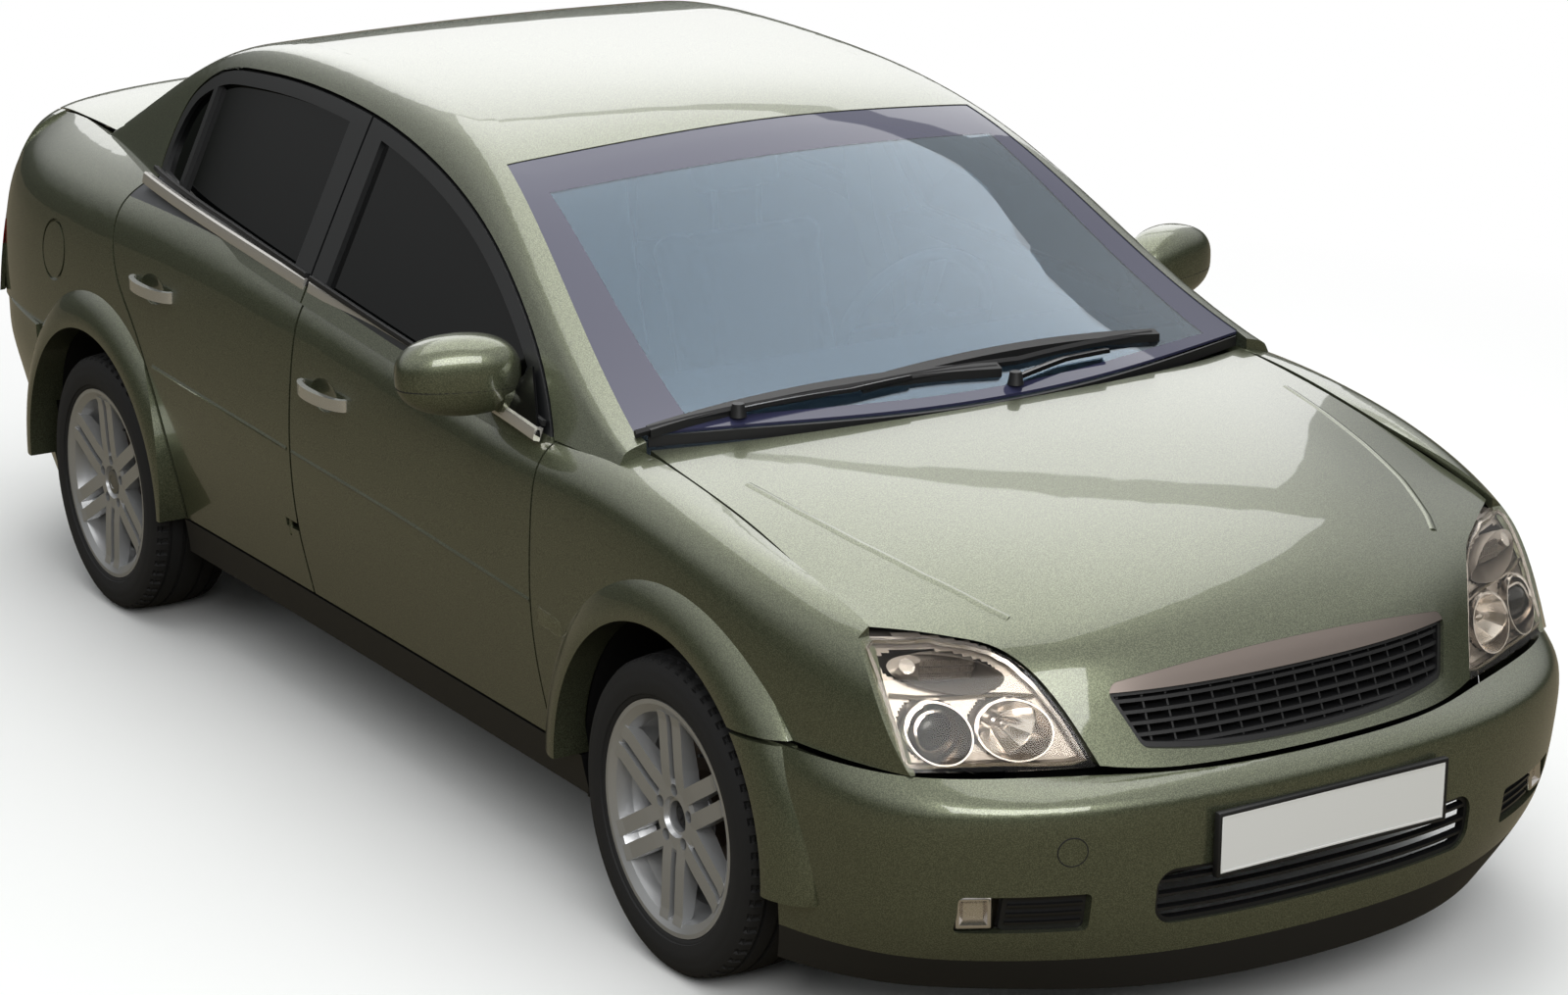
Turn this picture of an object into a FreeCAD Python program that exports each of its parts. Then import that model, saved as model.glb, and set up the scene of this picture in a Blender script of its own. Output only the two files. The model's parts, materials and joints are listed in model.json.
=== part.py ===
import FreeCAD, Part
import math
import os
from FreeCAD import Vector

os.makedirs("parts", exist_ok=True)

# Driving dimensions of the car, in millimetres
length = 4596.0
width = 1798.0
height = 1460.0
wheelbase = 2700.0
front_overhang = 922.0
front_track = 1535.0
rear_track = 1525.0

# Tyres and rims
tyre_width = 215.0
tyre_side_share = 0.471
rim_diameter = 431.8
rim_width = 178.0
rim_flange_height = 17.0
rim_wall = 9.0
rim_well_depth = 24.0
rim_offset = 41.0
spoke_pairs = 6
spoke_width = 32.0
spoke_pair_spread = 25.0
spoke_depth = 34.0
hub_face = 80.0
hub_face_radius = 66.0
hub_bore = 62.0
bolt_circle = 110.0
bolt_hole = 24.0
bolt_count = 5
bead_clearance = 0.3
disc_thickness = 24.0

# Sheet, panel and door thicknesses
panel_depth = 22.0
pillar_depth = 38.0
door_flange = 14.0
door_depth = 112.0
door_inset = 20.0
glass_thickness = 5.0
side_glass_inset = 12.0
screen_inset = 2.0
floor_thickness = 30.0
bumper_depth = 26.0

# Shut lines and clearances
shut_gap = 8.0
seat_gap = 0.3
overrun = 400.0
arch_radius = 388.0
frame_width = 30.0

# Swing axes

half_width = width / 2
half_length = length / 2
front_y = -half_length
front_axle_y = front_y + front_overhang
rear_axle_y = front_axle_y + wheelbase
rim_radius = rim_diameter / 2
tyre_radius = rim_radius + tyre_width * tyre_side_share
permille = 0.001
spline_points = 14


# Places written as thousandths of the length, the half width and the height
def along(share):
    return share * permille * length + front_y


def across(share):
    return share * permille * half_width


def up(share):
    return share * permille * height


def place(shares):
    return Vector(across(shares[1]), along(shares[0]), up(shares[2]))


# Surfaces from nets of poles
def knots(count):
    return list(range(count - 2))


def clamps(count):
    return [4] + [1] * (count - 4) + [4]


def skin(net):
    surface = Part.BSplineSurface()
    rows, columns = len(net), len(net[0])
    surface.buildFromPolesMultsKnots(net, clamps(rows), clamps(columns), knots(rows), knots(columns),
                                     False, False, 3, 3)
    return surface.toShape()


def pole_edge(poles):
    curve = Part.BSplineCurve()
    curve.buildFromPolesMultsKnots(poles, clamps(len(poles)), knots(len(poles)), False, 3)
    return curve.toShape()


def slab_between(outer, inner):
    borders = (lambda net: [row[0] for row in net], lambda net: [row[-1] for row in net],
               lambda net: net[0], lambda net: net[-1])
    walls = [Part.makeRuledSurface(pole_edge(border(outer)), pole_edge(border(inner))) for border in borders]
    shell = Part.Compound([skin(outer), skin(inner)] + walls)
    shell.sewShape()
    solid = Part.Solid(shell.Shells[0])
    if solid.Volume < 0:
        solid.reverse()
    return solid


def shifted(net, move):
    return [[pole + move for pole in row] for row in net]


def inward(net, distance):
    last_row, last_column = len(net) - 1, len(net[0]) - 1
    result = []
    for i, row in enumerate(net):
        moved = []
        for j, pole in enumerate(row):
            down_length = net[min(i + 1, last_row)][j] - net[max(i - 1, 0)][j]
            over_width = net[i][min(j + 1, last_column)] - net[i][max(j - 1, 0)]
            normal = down_length.cross(over_width)
            normal.normalize()
            moved.append(pole + normal * distance)
        result.append(moved)
    return result


def both_sides(rows):
    full = []
    for row in rows:
        half = [place(shares) for shares in row]
        mirrored = [Vector(-pole.x, pole.y, pole.z) for pole in reversed(half[1:])]
        full.append(mirrored + half)
    return full


# Flat outlines: runs of points, where three or more points make a spline
def run_edge(points):
    if len(points) == 2:
        return Part.LineSegment(points[0], points[1]).toShape()
    curve = Part.BSplineCurve()
    curve.interpolate(points)
    return curve.toShape()


def face_of(runs):
    return Part.Face(Part.Wire([run_edge(run) for run in runs]))


def grown(face, amount):
    wire = face.makeOffset2D(amount).OuterWire
    edges = []
    for edge in wire.OrderedEdges:
        if edge.Curve.TypeId in ("Part::GeomLine", "Part::GeomCircle"):
            edges.append(edge)
        else:
            points = edge.discretize(spline_points)
            if edge.Orientation == "Reversed":
                points.reverse()
            edges.append(run_edge(points))
    return Part.Face(Part.Wire(edges))


def polygon(points):
    return Part.Face(Part.makePolygon(list(points) + [points[0]]))


def side_point(shares):
    return Vector(0, along(shares[0]), up(shares[1]))


def plan_point(shares):
    return Vector(across(shares[1]), along(shares[0]), 0)


def front_point(shares):
    return Vector(across(shares[0]), 0, up(shares[1]))


def raised(face, path):
    solid = face.extrude(path)
    if solid.Volume < 0:
        solid.reverse()
    return solid


def side_prism(face):
    return raised(face, Vector(half_width + overrun, 0, 0))


def plan_prism(face):
    return raised(face, Vector(0, 0, height + overrun))


def front_prism(face, start, end):
    face = face.copy()
    face.translate(Vector(0, start, 0))
    return raised(face, Vector(0, end - start, 0))


def flipped(shape):
    return shape.mirror(Vector(0, 0, 0), Vector(1, 0, 0))


def block(low, high):
    size = high - low
    return Part.makeBox(size.x, size.y, size.z, low)


def zone(t_low, t_high, z_low, z_high, x_low=-2000.0, x_high=2000.0):
    return block(Vector(across(x_low), along(t_low), up(z_low)), Vector(across(x_high), along(t_high), up(z_high)))


def union(shapes):
    return shapes[0].fuse(list(shapes[1:]))


def largest(shape):
    return max(shape.Solids, key=lambda solid: solid.Volume)


# Body side from the headlamp to the tail lamp, and from the sill to the waist
side_length_shares = [46.8, 71.8, 113.1, 161.0, 208.9, 269.8, 326.4, 435.2, 559.2, 674.5, 750.7, 815.9,
                      870.3, 913.8, 948.7, 972.6]
side_width_shares = [
    [779, 845, 893, 905, 905, 900, 897, 892, 888, 888, 890, 892, 890, 880, 850, 805],
    [788, 859, 912, 926, 926, 920, 915, 910, 906, 906, 908, 912, 912, 900, 870, 820],
    [795, 870, 930, 950, 958, 960, 958, 955, 953, 953, 954, 955, 948, 928, 890, 838],
    [796, 873, 941, 970, 978, 977, 974, 969, 966, 966, 966, 967, 960, 940, 900, 850],
    [779, 859, 934, 966, 974, 972, 966, 961, 958, 958, 959, 959, 954, 934, 893, 840],
    [747, 832, 912, 952, 962, 962, 957, 950, 944, 943, 944, 945, 938, 918, 875, 822],
    [712, 792, 877, 925, 942, 944, 932, 930, 928, 925, 922, 919, 907, 882, 836, 780],
    [667, 743, 814, 863, 888, 897, 888, 903, 903, 897, 886, 866, 846, 820, 780, 728],
    [623, 690, 779, 812, 811, 808, 868, 886, 885, 882, 845, 775, 720, 693, 672, 640],
]
side_height_shares = [
    [116] * 16,
    [205] * 16,
    [308] * 16,
    [411, 411, 412, 414, 416, 419, 421, 428, 436, 445, 449, 452, 453, 453, 452, 449],
    [473, 479, 490, 500, 505, 508, 510, 515, 524, 534, 541, 547, 548, 547, 541, 536],
    [507, 522, 542, 560, 572, 579, 581, 586, 596, 610, 618, 627, 630, 629, 620, 613],
    [531, 548, 574, 597, 614, 625, 620, 634, 649, 668, 678, 688, 693, 692, 684, 675],
    [541, 563, 590, 616, 636, 649, 634, 656, 675, 699, 714, 725, 732, 732, 725, 716],
    [542, 558, 574, 608, 637, 659, 642, 662, 685, 712, 733, 743, 752, 755, 752, 745],
]
side_net = [[Vector(across(x), along(t), up(z)) for t, x, z in zip(side_length_shares, xs, zs)]
            for xs, zs in zip(side_width_shares, side_height_shares)]
side_drop_share = 0.5


def side_layer(near, far, drop_share=0.0):
    outer = shifted(side_net, Vector(-near, 0, -near * drop_share))
    inner = shifted(side_net, Vector(-far, 0, -far * drop_share))
    return slab_between(outer, inner)


# Nose, headlamp fronts and bonnet, as one skin from the bumper to the windscreen
nose_shares = [
    [(9.1, 0, 385), (10.9, 234, 386), (19.1, 389, 388), (28.7, 501, 390), (42.4, 690, 394), (57.7, 835, 398)],
    [(15.7, 0, 411), (17.4, 234, 413), (23.9, 389, 418), (34.8, 512, 433), (51.1, 712, 452), (66.4, 842, 453)],
    [(23.5, 0, 479), (25.7, 234, 479), (32.6, 406, 483), (44.6, 545, 488), (62.0, 734, 503), (76.2, 845, 505)],
    [(32.6, 0, 538), (34.8, 234, 537), (43.5, 423, 537), (56.6, 573, 537), (74.0, 745, 545), (87.0, 840, 545)],
    [(56.6, 0, 577), (58.3, 234, 575), (65.3, 434, 571), (76.2, 584, 567), (89.2, 743, 564), (99.0, 828, 562)],
    [(97.9, 0, 616), (99.0, 245, 614), (102.3, 451, 608), (108.8, 601, 599), (115.3, 734, 587), (121.8, 818, 577)],
    [(152.3, 0, 647), (152.3, 245, 644), (153.4, 467, 637), (155.6, 612, 626), (157.7, 734, 615), (159.9, 818, 605)],
    [(200.2, 0, 666), (200.2, 245, 664), (201.3, 467, 657), (203.4, 612, 649), (205.6, 734, 640), (206.7, 815, 635)],
    [(237.2, 0, 675), (238.3, 245, 673), (242.6, 467, 668), (250.2, 623, 662), (258.9, 734, 658), (268.5, 815, 655)],
]
nose_net = both_sides(nose_shares)
nose_lean_share = 0.7


def nose_layer(near, far):
    return slab_between(shifted(nose_net, Vector(0, near * nose_lean_share, -near)),
                        shifted(nose_net, Vector(0, far * nose_lean_share, -far)))


# Tail face, tail lamps and boot deck
tail_shares = [
    [(992.2, 0, 438), (991.3, 245, 438), (988.9, 467, 438), (985.2, 623, 442), (979.1, 745, 445),
     (969.3, 834, 445), (944.3, 918, 445)],
    [(990.4, 0, 548), (989.6, 245, 548), (986.7, 467, 548), (982.6, 623, 548), (976.5, 740, 548),
     (966.1, 832, 548), (941.7, 912, 548)],
    [(987.4, 0, 671), (986.3, 245, 671), (983.2, 467, 670), (978.7, 623, 666), (971.5, 725, 661),
     (961.3, 812, 654), (936.7, 884, 644)],
    [(985.6, 0, 768), (984.6, 245, 767), (980.2, 467, 762), (974.8, 612, 753), (967.8, 701, 743),
     (957.4, 779, 723), (932.3, 854, 695)],
    [(961.7, 0, 774), (960.6, 245, 773), (957.4, 445, 768), (953.0, 590, 763), (946.5, 681, 755),
     (937.8, 756, 741), (920.4, 834, 718)],
    [(913.8, 0, 773), (913.8, 245, 771), (911.7, 445, 768), (909.5, 590, 764), (905.1, 684, 758),
     (900.8, 768, 747), (892.1, 834, 727)],
    [(848.6, 0, 753), (849.7, 245, 752), (851.8, 445, 749), (855.1, 590, 745), (858.4, 690, 741),
     (861.6, 779, 736), (864.9, 845, 727)],
]
tail_net = both_sides(tail_shares)


def tail_layer(near, far):
    return slab_between(shifted(tail_net, Vector(0, -near * nose_lean_share, -near)),
                        shifted(tail_net, Vector(0, -far * nose_lean_share, -far)))


# Bumpers: a plan contour, repeated at heights with an inset, below a shaped top edge
front_contour_shares = [(0.0, 0), (1.3, 234), (7.4, 434), (18.5, 606), (33.7, 752), (53.3, 868), (80.5, 936),
                        (111.0, 967), (141.4, 981)]
front_top_shares = [(9.1, 0, 385), (10.9, 234, 386), (19.1, 389, 388), (28.7, 501, 390), (42.4, 690, 394),
                    (57.7, 835, 398), (84.9, 915, 401), (113.1, 953, 403), (141.4, 976, 402)]
front_row_shares = [(106, 66), (150, 34), (205, 13), (270, 5), (320, 0), (353, 0), (378, 7)]
front_tuck_shares = [0.6, 0.75, 1.1, 1.6, 1.9, 1.8, 1.3, 0.7, 0.4]
rear_contour_shares = [(1000.0, 0), (998.7, 245), (993.9, 467), (986.1, 645), (975.2, 772), (958.4, 862),
                       (933.4, 922), (900.8, 954), (868.1, 968)]
rear_top_shares = [(992.2, 0, 442), (991.3, 245, 442), (988.9, 467, 442), (985.2, 623, 444), (977.4, 756, 445),
                   (962.8, 846, 445), (937.8, 915, 445), (903.0, 950, 442), (868.1, 968, 438)]
rear_row_shares = [(137, 115), (175, 88), (230, 62), (290, 40), (340, 18), (390, 0), (425, 3)]
rear_tuck_shares = [0.6, 0.7, 0.8, 0.9, 1.0, 1.0, 1.0, 0.8, 0.5]


def bumper_net(contour, rows, tucks, top):
    plan = [Vector(across(x), along(t), 0) for t, x in contour]
    facing = -1 if plan[0].y < plan[-1].y else 1
    net = []
    for height_share, inset_share in rows:
        row = []
        for j, point in enumerate(plan):
            run = plan[min(j + 1, len(plan) - 1)] - plan[max(j - 1, 0)]
            if j == 0:
                run = Vector(1, 0, 0)
            out = Vector(facing * -run.y, facing * run.x, 0)
            out.normalize()
            inset = inset_share * tucks[j] * permille * half_width
            row.append(Vector(point.x, point.y, up(height_share)) - out * inset)
        net.append(row)
    net.append([place(shares) for shares in top])
    return [[Vector(-pole.x, pole.y, pole.z) for pole in reversed(row[1:])] + row for row in net]


front_bumper_net = bumper_net(front_contour_shares, front_row_shares, front_tuck_shares, front_top_shares)
rear_bumper_net = bumper_net(rear_contour_shares, rear_row_shares, rear_tuck_shares, rear_top_shares)

# Greenhouse: for each station the centre height, and the corner where the roof turns into the side
roof_station_shares = [
    (217.6, 651, 888, 642), (250.2, 706, 874, 647), (287.2, 762, 853, 685), (326.4, 819, 816, 743),
    (369.9, 885, 773, 821), (409.1, 943, 735, 886), (448.2, 984, 699, 934), (500.4, 1000, 675, 967),
    (559.2, 1003, 662, 982), (624.5, 1002, 655, 989), (681.0, 994, 652, 986), (724.5, 976, 650, 967),
    (765.9, 930, 649, 926), (805.0, 866, 660, 872), (844.2, 796, 684, 804), (879.0, 729, 713, 744),
]
roof_crown_shares = [0.0, 0.3, 0.6, 0.85]
roof_side_shares = [0.12, 0.4, 0.7, 1.0]
side_lean_share = 0.5
waist_foot_share = 590.0


def roof_row(t, centre, edge_x, edge_z):
    poles = []
    for share in roof_crown_shares:
        drop = (up(centre) - up(edge_z)) * share * share
        poles.append(Vector(across(edge_x) * share, along(t), up(centre) - drop))
    corner = Vector(across(edge_x), along(t), up(edge_z))
    poles.append(corner)
    fall = max(corner.z - up(waist_foot_share), 0)
    for share in roof_side_shares:
        step = fall * share
        poles.append(Vector(corner.x + step * side_lean_share, along(t), corner.z - step))
    return [Vector(-pole.x, pole.y, pole.z) for pole in reversed(poles[1:])] + poles


roof_net = [roof_row(*station) for station in roof_station_shares]


def roof_layer(near, far):
    return slab_between(inward(roof_net, near), inward(roof_net, far))


# Outlines seen from the side
door_front_shares = [(309.8, 221), (310.5, 308), (311.4, 411), (312.1, 514), (312.8, 589), (313.3, 636)]
frame_front_shares = [(313.3, 636), (345.1, 725), (375.1, 786), (408.8, 840), (450.0, 885), (493.7, 917),
                      (540.9, 939), (557.6, 944)]
door_split_shares = [(557.6, 944), (556.0, 688), (555.0, 616), (553.0, 438), (551.5, 308), (550.5, 221)]
frame_rear_shares = [(557.6, 944), (597.5, 951), (653.0, 951), (696.9, 942), (730.4, 926), (754.4, 895),
                     (770.5, 847), (773.1, 795), (769.1, 739)]
door_rear_shares = [(769.1, 739), (771.3, 651), (759.4, 582), (739.8, 527), (724.5, 473), (711.5, 411),
                    (701.7, 329), (699.5, 221)]
waist_shares = [(313.3, 640), (452.6, 681), (546.1, 699), (744.1, 746), (783.3, 756)]
divider_top_shares = (735.0, 960)
divider_foot_shares = (727.0, 680)
divider_width = 24.0
post_head_shares = (559.0, 1000)
post_foot_shares = (555.0, 616)
front_post_cover = 78.0
rear_post_cover = 88.0

front_door_face = face_of([[side_point(p) for p in run] for run in (
    door_front_shares, frame_front_shares, door_split_shares, [door_split_shares[-1], door_front_shares[0]])])
rear_door_face = face_of([[side_point(p) for p in run] for run in (
    frame_rear_shares, door_rear_shares, [door_rear_shares[-1], door_split_shares[-1]],
    list(reversed(door_split_shares)))])
above_waist_face = face_of([[side_point(p) for p in run] for run in (
    waist_shares, [waist_shares[-1], (783.3, 1100)], [(783.3, 1100), (313.3, 1100)],
    [(313.3, 1100), waist_shares[0]])])


# Doors, each with its window frame, its glass and its handle
def door_pieces(face, window_cut):
    outline = grown(face, -shut_gap / 2)
    core = grown(face, -shut_gap / 2 - door_inset)
    lower = side_layer(0, door_flange).common(side_prism(outline))
    bulk = side_layer(door_flange / 2, door_depth).common(side_prism(core))
    window_face = grown(face, -shut_gap / 2 - frame_width)
    window = side_prism(window_face).common(side_prism(above_waist_face))
    for cut in window_cut:
        window = window.cut(cut)
    frame = roof_layer(0, pillar_depth).common(side_prism(outline))
    frame = frame.common(side_prism(grown(above_waist_face, 2 * door_inset)))
    frame = frame.cut(window)
    door = largest(union([lower, bulk, frame]))
    glass = roof_layer(side_glass_inset, side_glass_inset + glass_thickness).common(window).cut(door)
    return door, glass


sail_cut = side_prism(polygon([side_point(p) for p in (
    (300.0, 600), (352.0, 600), (352.0, 800), (300.0, 800))]))
divider_low = side_point(divider_foot_shares)
divider_high = side_point(divider_top_shares)
divider_step = Vector(0, divider_width, 0)
divider_cut = side_prism(polygon([divider_low, divider_low + divider_step, divider_high + divider_step,
                                  divider_high]))
post_low = side_point(post_foot_shares)
post_high = side_point(post_head_shares)
front_cover = Vector(0, -front_post_cover, 0)
rear_cover = Vector(0, rear_post_cover, 0)
post_cut = side_prism(polygon([post_low + front_cover, post_low + rear_cover, post_high + rear_cover,
                               post_high + front_cover]))
front_door, front_glass = door_pieces(front_door_face, [sail_cut, post_cut])
rear_door, rear_glass = door_pieces(rear_door_face, [divider_cut, post_cut])

# Door handles: a bowl in the skin, bridged by a bar
handle_shares = {"front": (518.0, 562), "rear": (716.5, 596)}
handle_length = 225.0
handle_height = 26.0
handle_stand = 34.0
bowl_length = 130.0
bowl_height = 78.0
bowl_depth = 10.0
handle_wall = 15.0


def skin_x(t_share, z_share):
    probe = Part.Line(Vector(0, along(t_share), up(z_share)), Vector(1, along(t_share), up(z_share)))
    edge = Part.Edge(probe, 0, half_width + overrun)
    hits = [vertex.Point.x for vertex in edge.section(skin(side_net)).Vertexes]
    return max(hits)


def handle_piece(name):
    t_share, z_share = handle_shares[name]
    centre = Vector(skin_x(t_share, z_share), along(t_share), up(z_share))
    outer = Part.Ellipse(Vector(0, 0, 0), handle_length / 2, handle_stand).toShape()
    bar = Part.Face(Part.Wire(outer)).extrude(Vector(0, 0, handle_height))
    bar.translate(Vector(0, 0, -handle_height / 2))
    hollow = Part.Face(Part.Wire(Part.Ellipse(Vector(0, 0, 0), handle_length / 2 - handle_wall,
                                              handle_stand - handle_wall).toShape()))
    hollow = hollow.extrude(Vector(0, 0, 2 * handle_height))
    hollow.translate(Vector(0, 0, -handle_height))
    bar = bar.cut(hollow)
    bar.rotate(Vector(0, 0, 0), Vector(0, 0, 1), 90)
    bar.translate(centre)
    bowl = Part.makeSphere(1)
    scale = FreeCAD.Matrix()
    scale.scale(Vector(bowl_depth, bowl_length / 2, bowl_height / 2))
    bowl = bowl.transformGeometry(scale)
    bowl.translate(centre)
    return bar, bowl


front_bar, front_bowl = handle_piece("front")
rear_bar, rear_bowl = handle_piece("rear")
front_door = front_door.cut(front_bowl)
rear_door = rear_door.cut(rear_bowl)
front_handle = largest(front_bar.cut(front_door))
rear_handle = largest(rear_bar.cut(rear_door))


# Wheel arches
def arch_cylinder(y, radius, depth=overrun):
    return Part.makeCylinder(radius, depth, Vector(half_width + overrun / 2 - depth, y, tyre_radius), Vector(1, 0, 0))


front_arch = arch_cylinder(front_axle_y, arch_radius, 2 * overrun)
rear_arch = arch_cylinder(rear_axle_y, arch_radius, 2 * overrun)

# Bonnet line in plan, lamp lines from the front and from the side
bonnet_side_shares = [(60.0, 812), (91.2, 811), (114.2, 818), (151.0, 815), (189.7, 811), (228.0, 811), (266.0, 807)]
lamp_top_shares = [(835, 556), (780, 554), (730, 551), (672, 545), (615, 535), (577, 515), (547, 487), (516, 447), (484, 398)]
lamp_outer_shares = [(57.7, 398), (66.4, 438), (76.2, 490), (91.2, 549)]
windscreen_foot_shares = [(233.9, 0), (245.9, 501), (270.2, 821)]
windscreen_head_shares = [(441.5, 648), (430.6, 340), (427.5, 0)]
rear_window_head_shares = [(725.6, 0), (728.9, 334), (736.5, 556)]
rear_window_foot_shares = [(848.6, 667), (859.4, 334), (862.7, 0)]


def plan_loop(front_shares, rear_shares):
    front = [plan_point(p) for p in front_shares]
    rear = [plan_point(p) for p in rear_shares]
    front_full = [Vector(-p.x, p.y, 0) for p in reversed(front[1:])] + front
    rear_full = rear + [Vector(-p.x, p.y, 0) for p in reversed(rear[:-1])]
    return face_of([front_full, [front_full[-1], rear_full[0]], rear_full, [rear_full[-1], front_full[0]]])


windscreen_face = plan_loop(windscreen_foot_shares, windscreen_head_shares)
rear_window_face = plan_loop(rear_window_head_shares, rear_window_foot_shares)


def screen(face):
    layer = roof_layer(screen_inset, screen_inset + glass_thickness)
    return layer.common(plan_prism(grown(face, -seat_gap)))


windscreen = largest(screen(windscreen_face).common(zone(200.0, 500.0, 655, 1100)))
rear_window = largest(screen(rear_window_face).common(zone(700.0, 900.0, 720, 1100)))

# Roof panel between the screens, and the side frames with pillars, rails, sill and quarter panel
roof_edge_share = 560.0
trim_depth = 12.0
screen_openings = [plan_prism(windscreen_face), plan_prism(rear_window_face)]
roof_shell = roof_layer(0, pillar_depth)
for opening in screen_openings:
    roof_shell = roof_shell.cut(opening)
roof_zone = zone(424.0, 745.0, 800, 1100, -roof_edge_share, roof_edge_share)
roof_panel = largest(roof_layer(0, panel_depth).common(roof_zone).cut(union(screen_openings)))

pillar_region = zone(262.0, 872.0, 640, 1100, roof_edge_share, 1200.0)
door_apertures = [side_prism(grown(front_door_face, shut_gap / 2)),
                  side_prism(grown(rear_door_face, shut_gap / 2))]
pillars = roof_shell.common(pillar_region).cut(zone(200.0, 271.5, 560, 1100, 0, 816))
for aperture in door_apertures:
    pillars = pillars.cut(aperture)
side_region = side_prism(face_of([[side_point(p) for p in run] for run in (
    door_front_shares, [door_front_shares[-1], (313.3, 720)], [(313.3, 720), (945.0, 800)],
    [(945.0, 800), (945.0, 440)], [(945.0, 440), (868.5, 440)], [(868.5, 440), (868.5, 300)],
    [(868.5, 300), (800.0, 300)], [(800.0, 300), (712.0, 221)], [(712.0, 221), door_front_shares[0]])]))
sill_flange = side_layer(trim_depth, 1.6 * panel_depth).common(zone(304.0, 714.0, 200, 223))
side_shell = side_layer(0, 1.6 * panel_depth, side_drop_share).common(side_region).fuse(sill_flange)
for cutter in door_apertures + [rear_arch]:
    side_shell = side_shell.cut(cutter)

# Fuel flap in the right quarter
fuel_flap_radius = 72.0
fuel_flap_shares = (846.4, 581)
flap_axis = Vector(0, along(fuel_flap_shares[0]), up(fuel_flap_shares[1]))
flap_hole = Part.makeCylinder(fuel_flap_radius + shut_gap / 2, half_width, flap_axis, Vector(1, 0, 0))
flap_disc = Part.makeCylinder(fuel_flap_radius - shut_gap / 2, half_width, flap_axis, Vector(1, 0, 0))
fuel_flap = largest(side_layer(0, door_flange / 2).common(flap_disc))
flap_hole_right = flipped(flap_hole)

pieces = {}

# Side frame: pillars, rails, quarter panel, sill, posts and the corner round the tail lamp
sill_shares = (300.0, 705.0, 160, 212, 740.0, 880.0)
sill_box = zone(*sill_shares)
hinge_post_face = polygon([side_point(p) for p in (
    (290.0, 165), (306.5, 165), (306.5, 620), (290.0, 620))])
hinge_post = side_layer(panel_depth, door_depth).common(side_prism(hinge_post_face))
lid_side_shares = [(856.5, 700), (880.0, 700), (920.0, 689), (960.0, 680), (1010.0, 676)]
lid_front_shares = [(856.5, 700), (860.0, 400), (864.5, 0)]
lid_rear_shares = [(560, 447), (575, 520), (585, 600), (592, 680), (640, 722), (700, 760)]
lid_plan = [plan_point(p) for p in lid_side_shares]
lid_front = [plan_point(p) for p in lid_front_shares]
lid_front_full = lid_front + [Vector(-p.x, p.y, 0) for p in reversed(lid_front[:-1])]
lid_plan_face = face_of([lid_plan, [lid_plan[-1], Vector(-lid_plan[-1].x, lid_plan[-1].y, 0)],
                         [Vector(-p.x, p.y, 0) for p in reversed(lid_plan)], list(reversed(lid_front_full))])
lid_edge = [front_point(p) for p in lid_rear_shares]
lid_top_share = 900
lid_corner = front_point((lid_rear_shares[-1][0], lid_top_share))
lid_rear_face = face_of([lid_edge, [lid_edge[-1], lid_corner], [lid_corner, Vector(-lid_corner.x, 0, lid_corner.z)],
                         [Vector(-lid_corner.x, 0, lid_corner.z), Vector(-lid_edge[-1].x, 0, lid_edge[-1].z)],
                         [Vector(-p.x, 0, p.z) for p in reversed(lid_edge)],
                         [Vector(-lid_edge[0].x, 0, lid_edge[0].z), lid_edge[0]]])


def lid_cutter(growth):
    rear = front_prism(grown(lid_rear_face, growth), along(840.0), along(1010.0))
    return rear.common(plan_prism(grown(lid_plan_face, growth)))


lid_gap_share = 0.375
lid_room = lid_cutter(shut_gap * lid_gap_share)
lamp_outline_shares = [(598, 528), (604, 600), (608, 672)]
lamp_far_shares = [(950, 680), (950, 528)]
tail_lamp_face = face_of([[front_point(p) for p in lamp_outline_shares],
                          [front_point(lamp_outline_shares[-1]), front_point(lamp_far_shares[0])],
                          [front_point(lamp_far_shares[0]), front_point(lamp_far_shares[1])],
                          [front_point(lamp_far_shares[1]), front_point(lamp_outline_shares[0])]])
tail_lamp_wall = 6.0


def tail_lamp_prism(growth):
    return front_prism(grown(tail_lamp_face, growth), along(900.0), along(1010.0))


tail_corner = tail_layer(0, panel_depth).common(zone(945.0, 1010.0, 445, 900, 500, 1200))
tail_corner = tail_corner.cut(lid_room).cut(tail_lamp_prism(seat_gap))

# Centre post behind the doors, with a rib between them that carries the rear door
post_outer_shares = [(779, 205.5), (803, 308), (818, 411), (814, 514), (803, 589), (787, 637), (751, 688), (823, 699),
                     (725, 822), (623, 959)]
post_inner_shares = [(578, 973), (684, 822), (712, 688), (767, 589), (780, 411), (745, 205.5)]
post_range_shares = (542.2, 565.7)
centre_post = front_prism(polygon([front_point(p) for p in post_outer_shares + post_inner_shares]),
                          along(post_range_shares[0]), along(post_range_shares[1]))
post_crown = roof_layer(20.0, 75.0).common(zone(post_range_shares[0], post_range_shares[1], 900, 1010, 562, 900))
post_crown = post_crown.cut(union(door_apertures))
split_line = [side_point(p) for p in door_split_shares]


def split_strip(near, far):
    return polygon([p + Vector(0, near, 0) for p in split_line] + [p + Vector(0, far, 0) for p in reversed(split_line)])


rib_shares = (240, 616, 779, 914)
centre_rib = side_prism(split_strip(-14.0, -5.0)).common(zone(500.0, 600.0, *rib_shares))

# Door hinges: fixed arms with upright pins, in notches of the doors
door_axis_x = 848.0
door_axis_shares = {"front": 320.17, "rear": 562.77}
hinge_height_shares = (342.5, 506.8)
door_pin_radius = 5.0
door_pin_reach = 45.0
door_pin_gap = 0.6
hinge_half_height = 20.0
hinge_thickness = 12.0
hinge_reach = 52.0
hinge_clearance = 8.0


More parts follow.
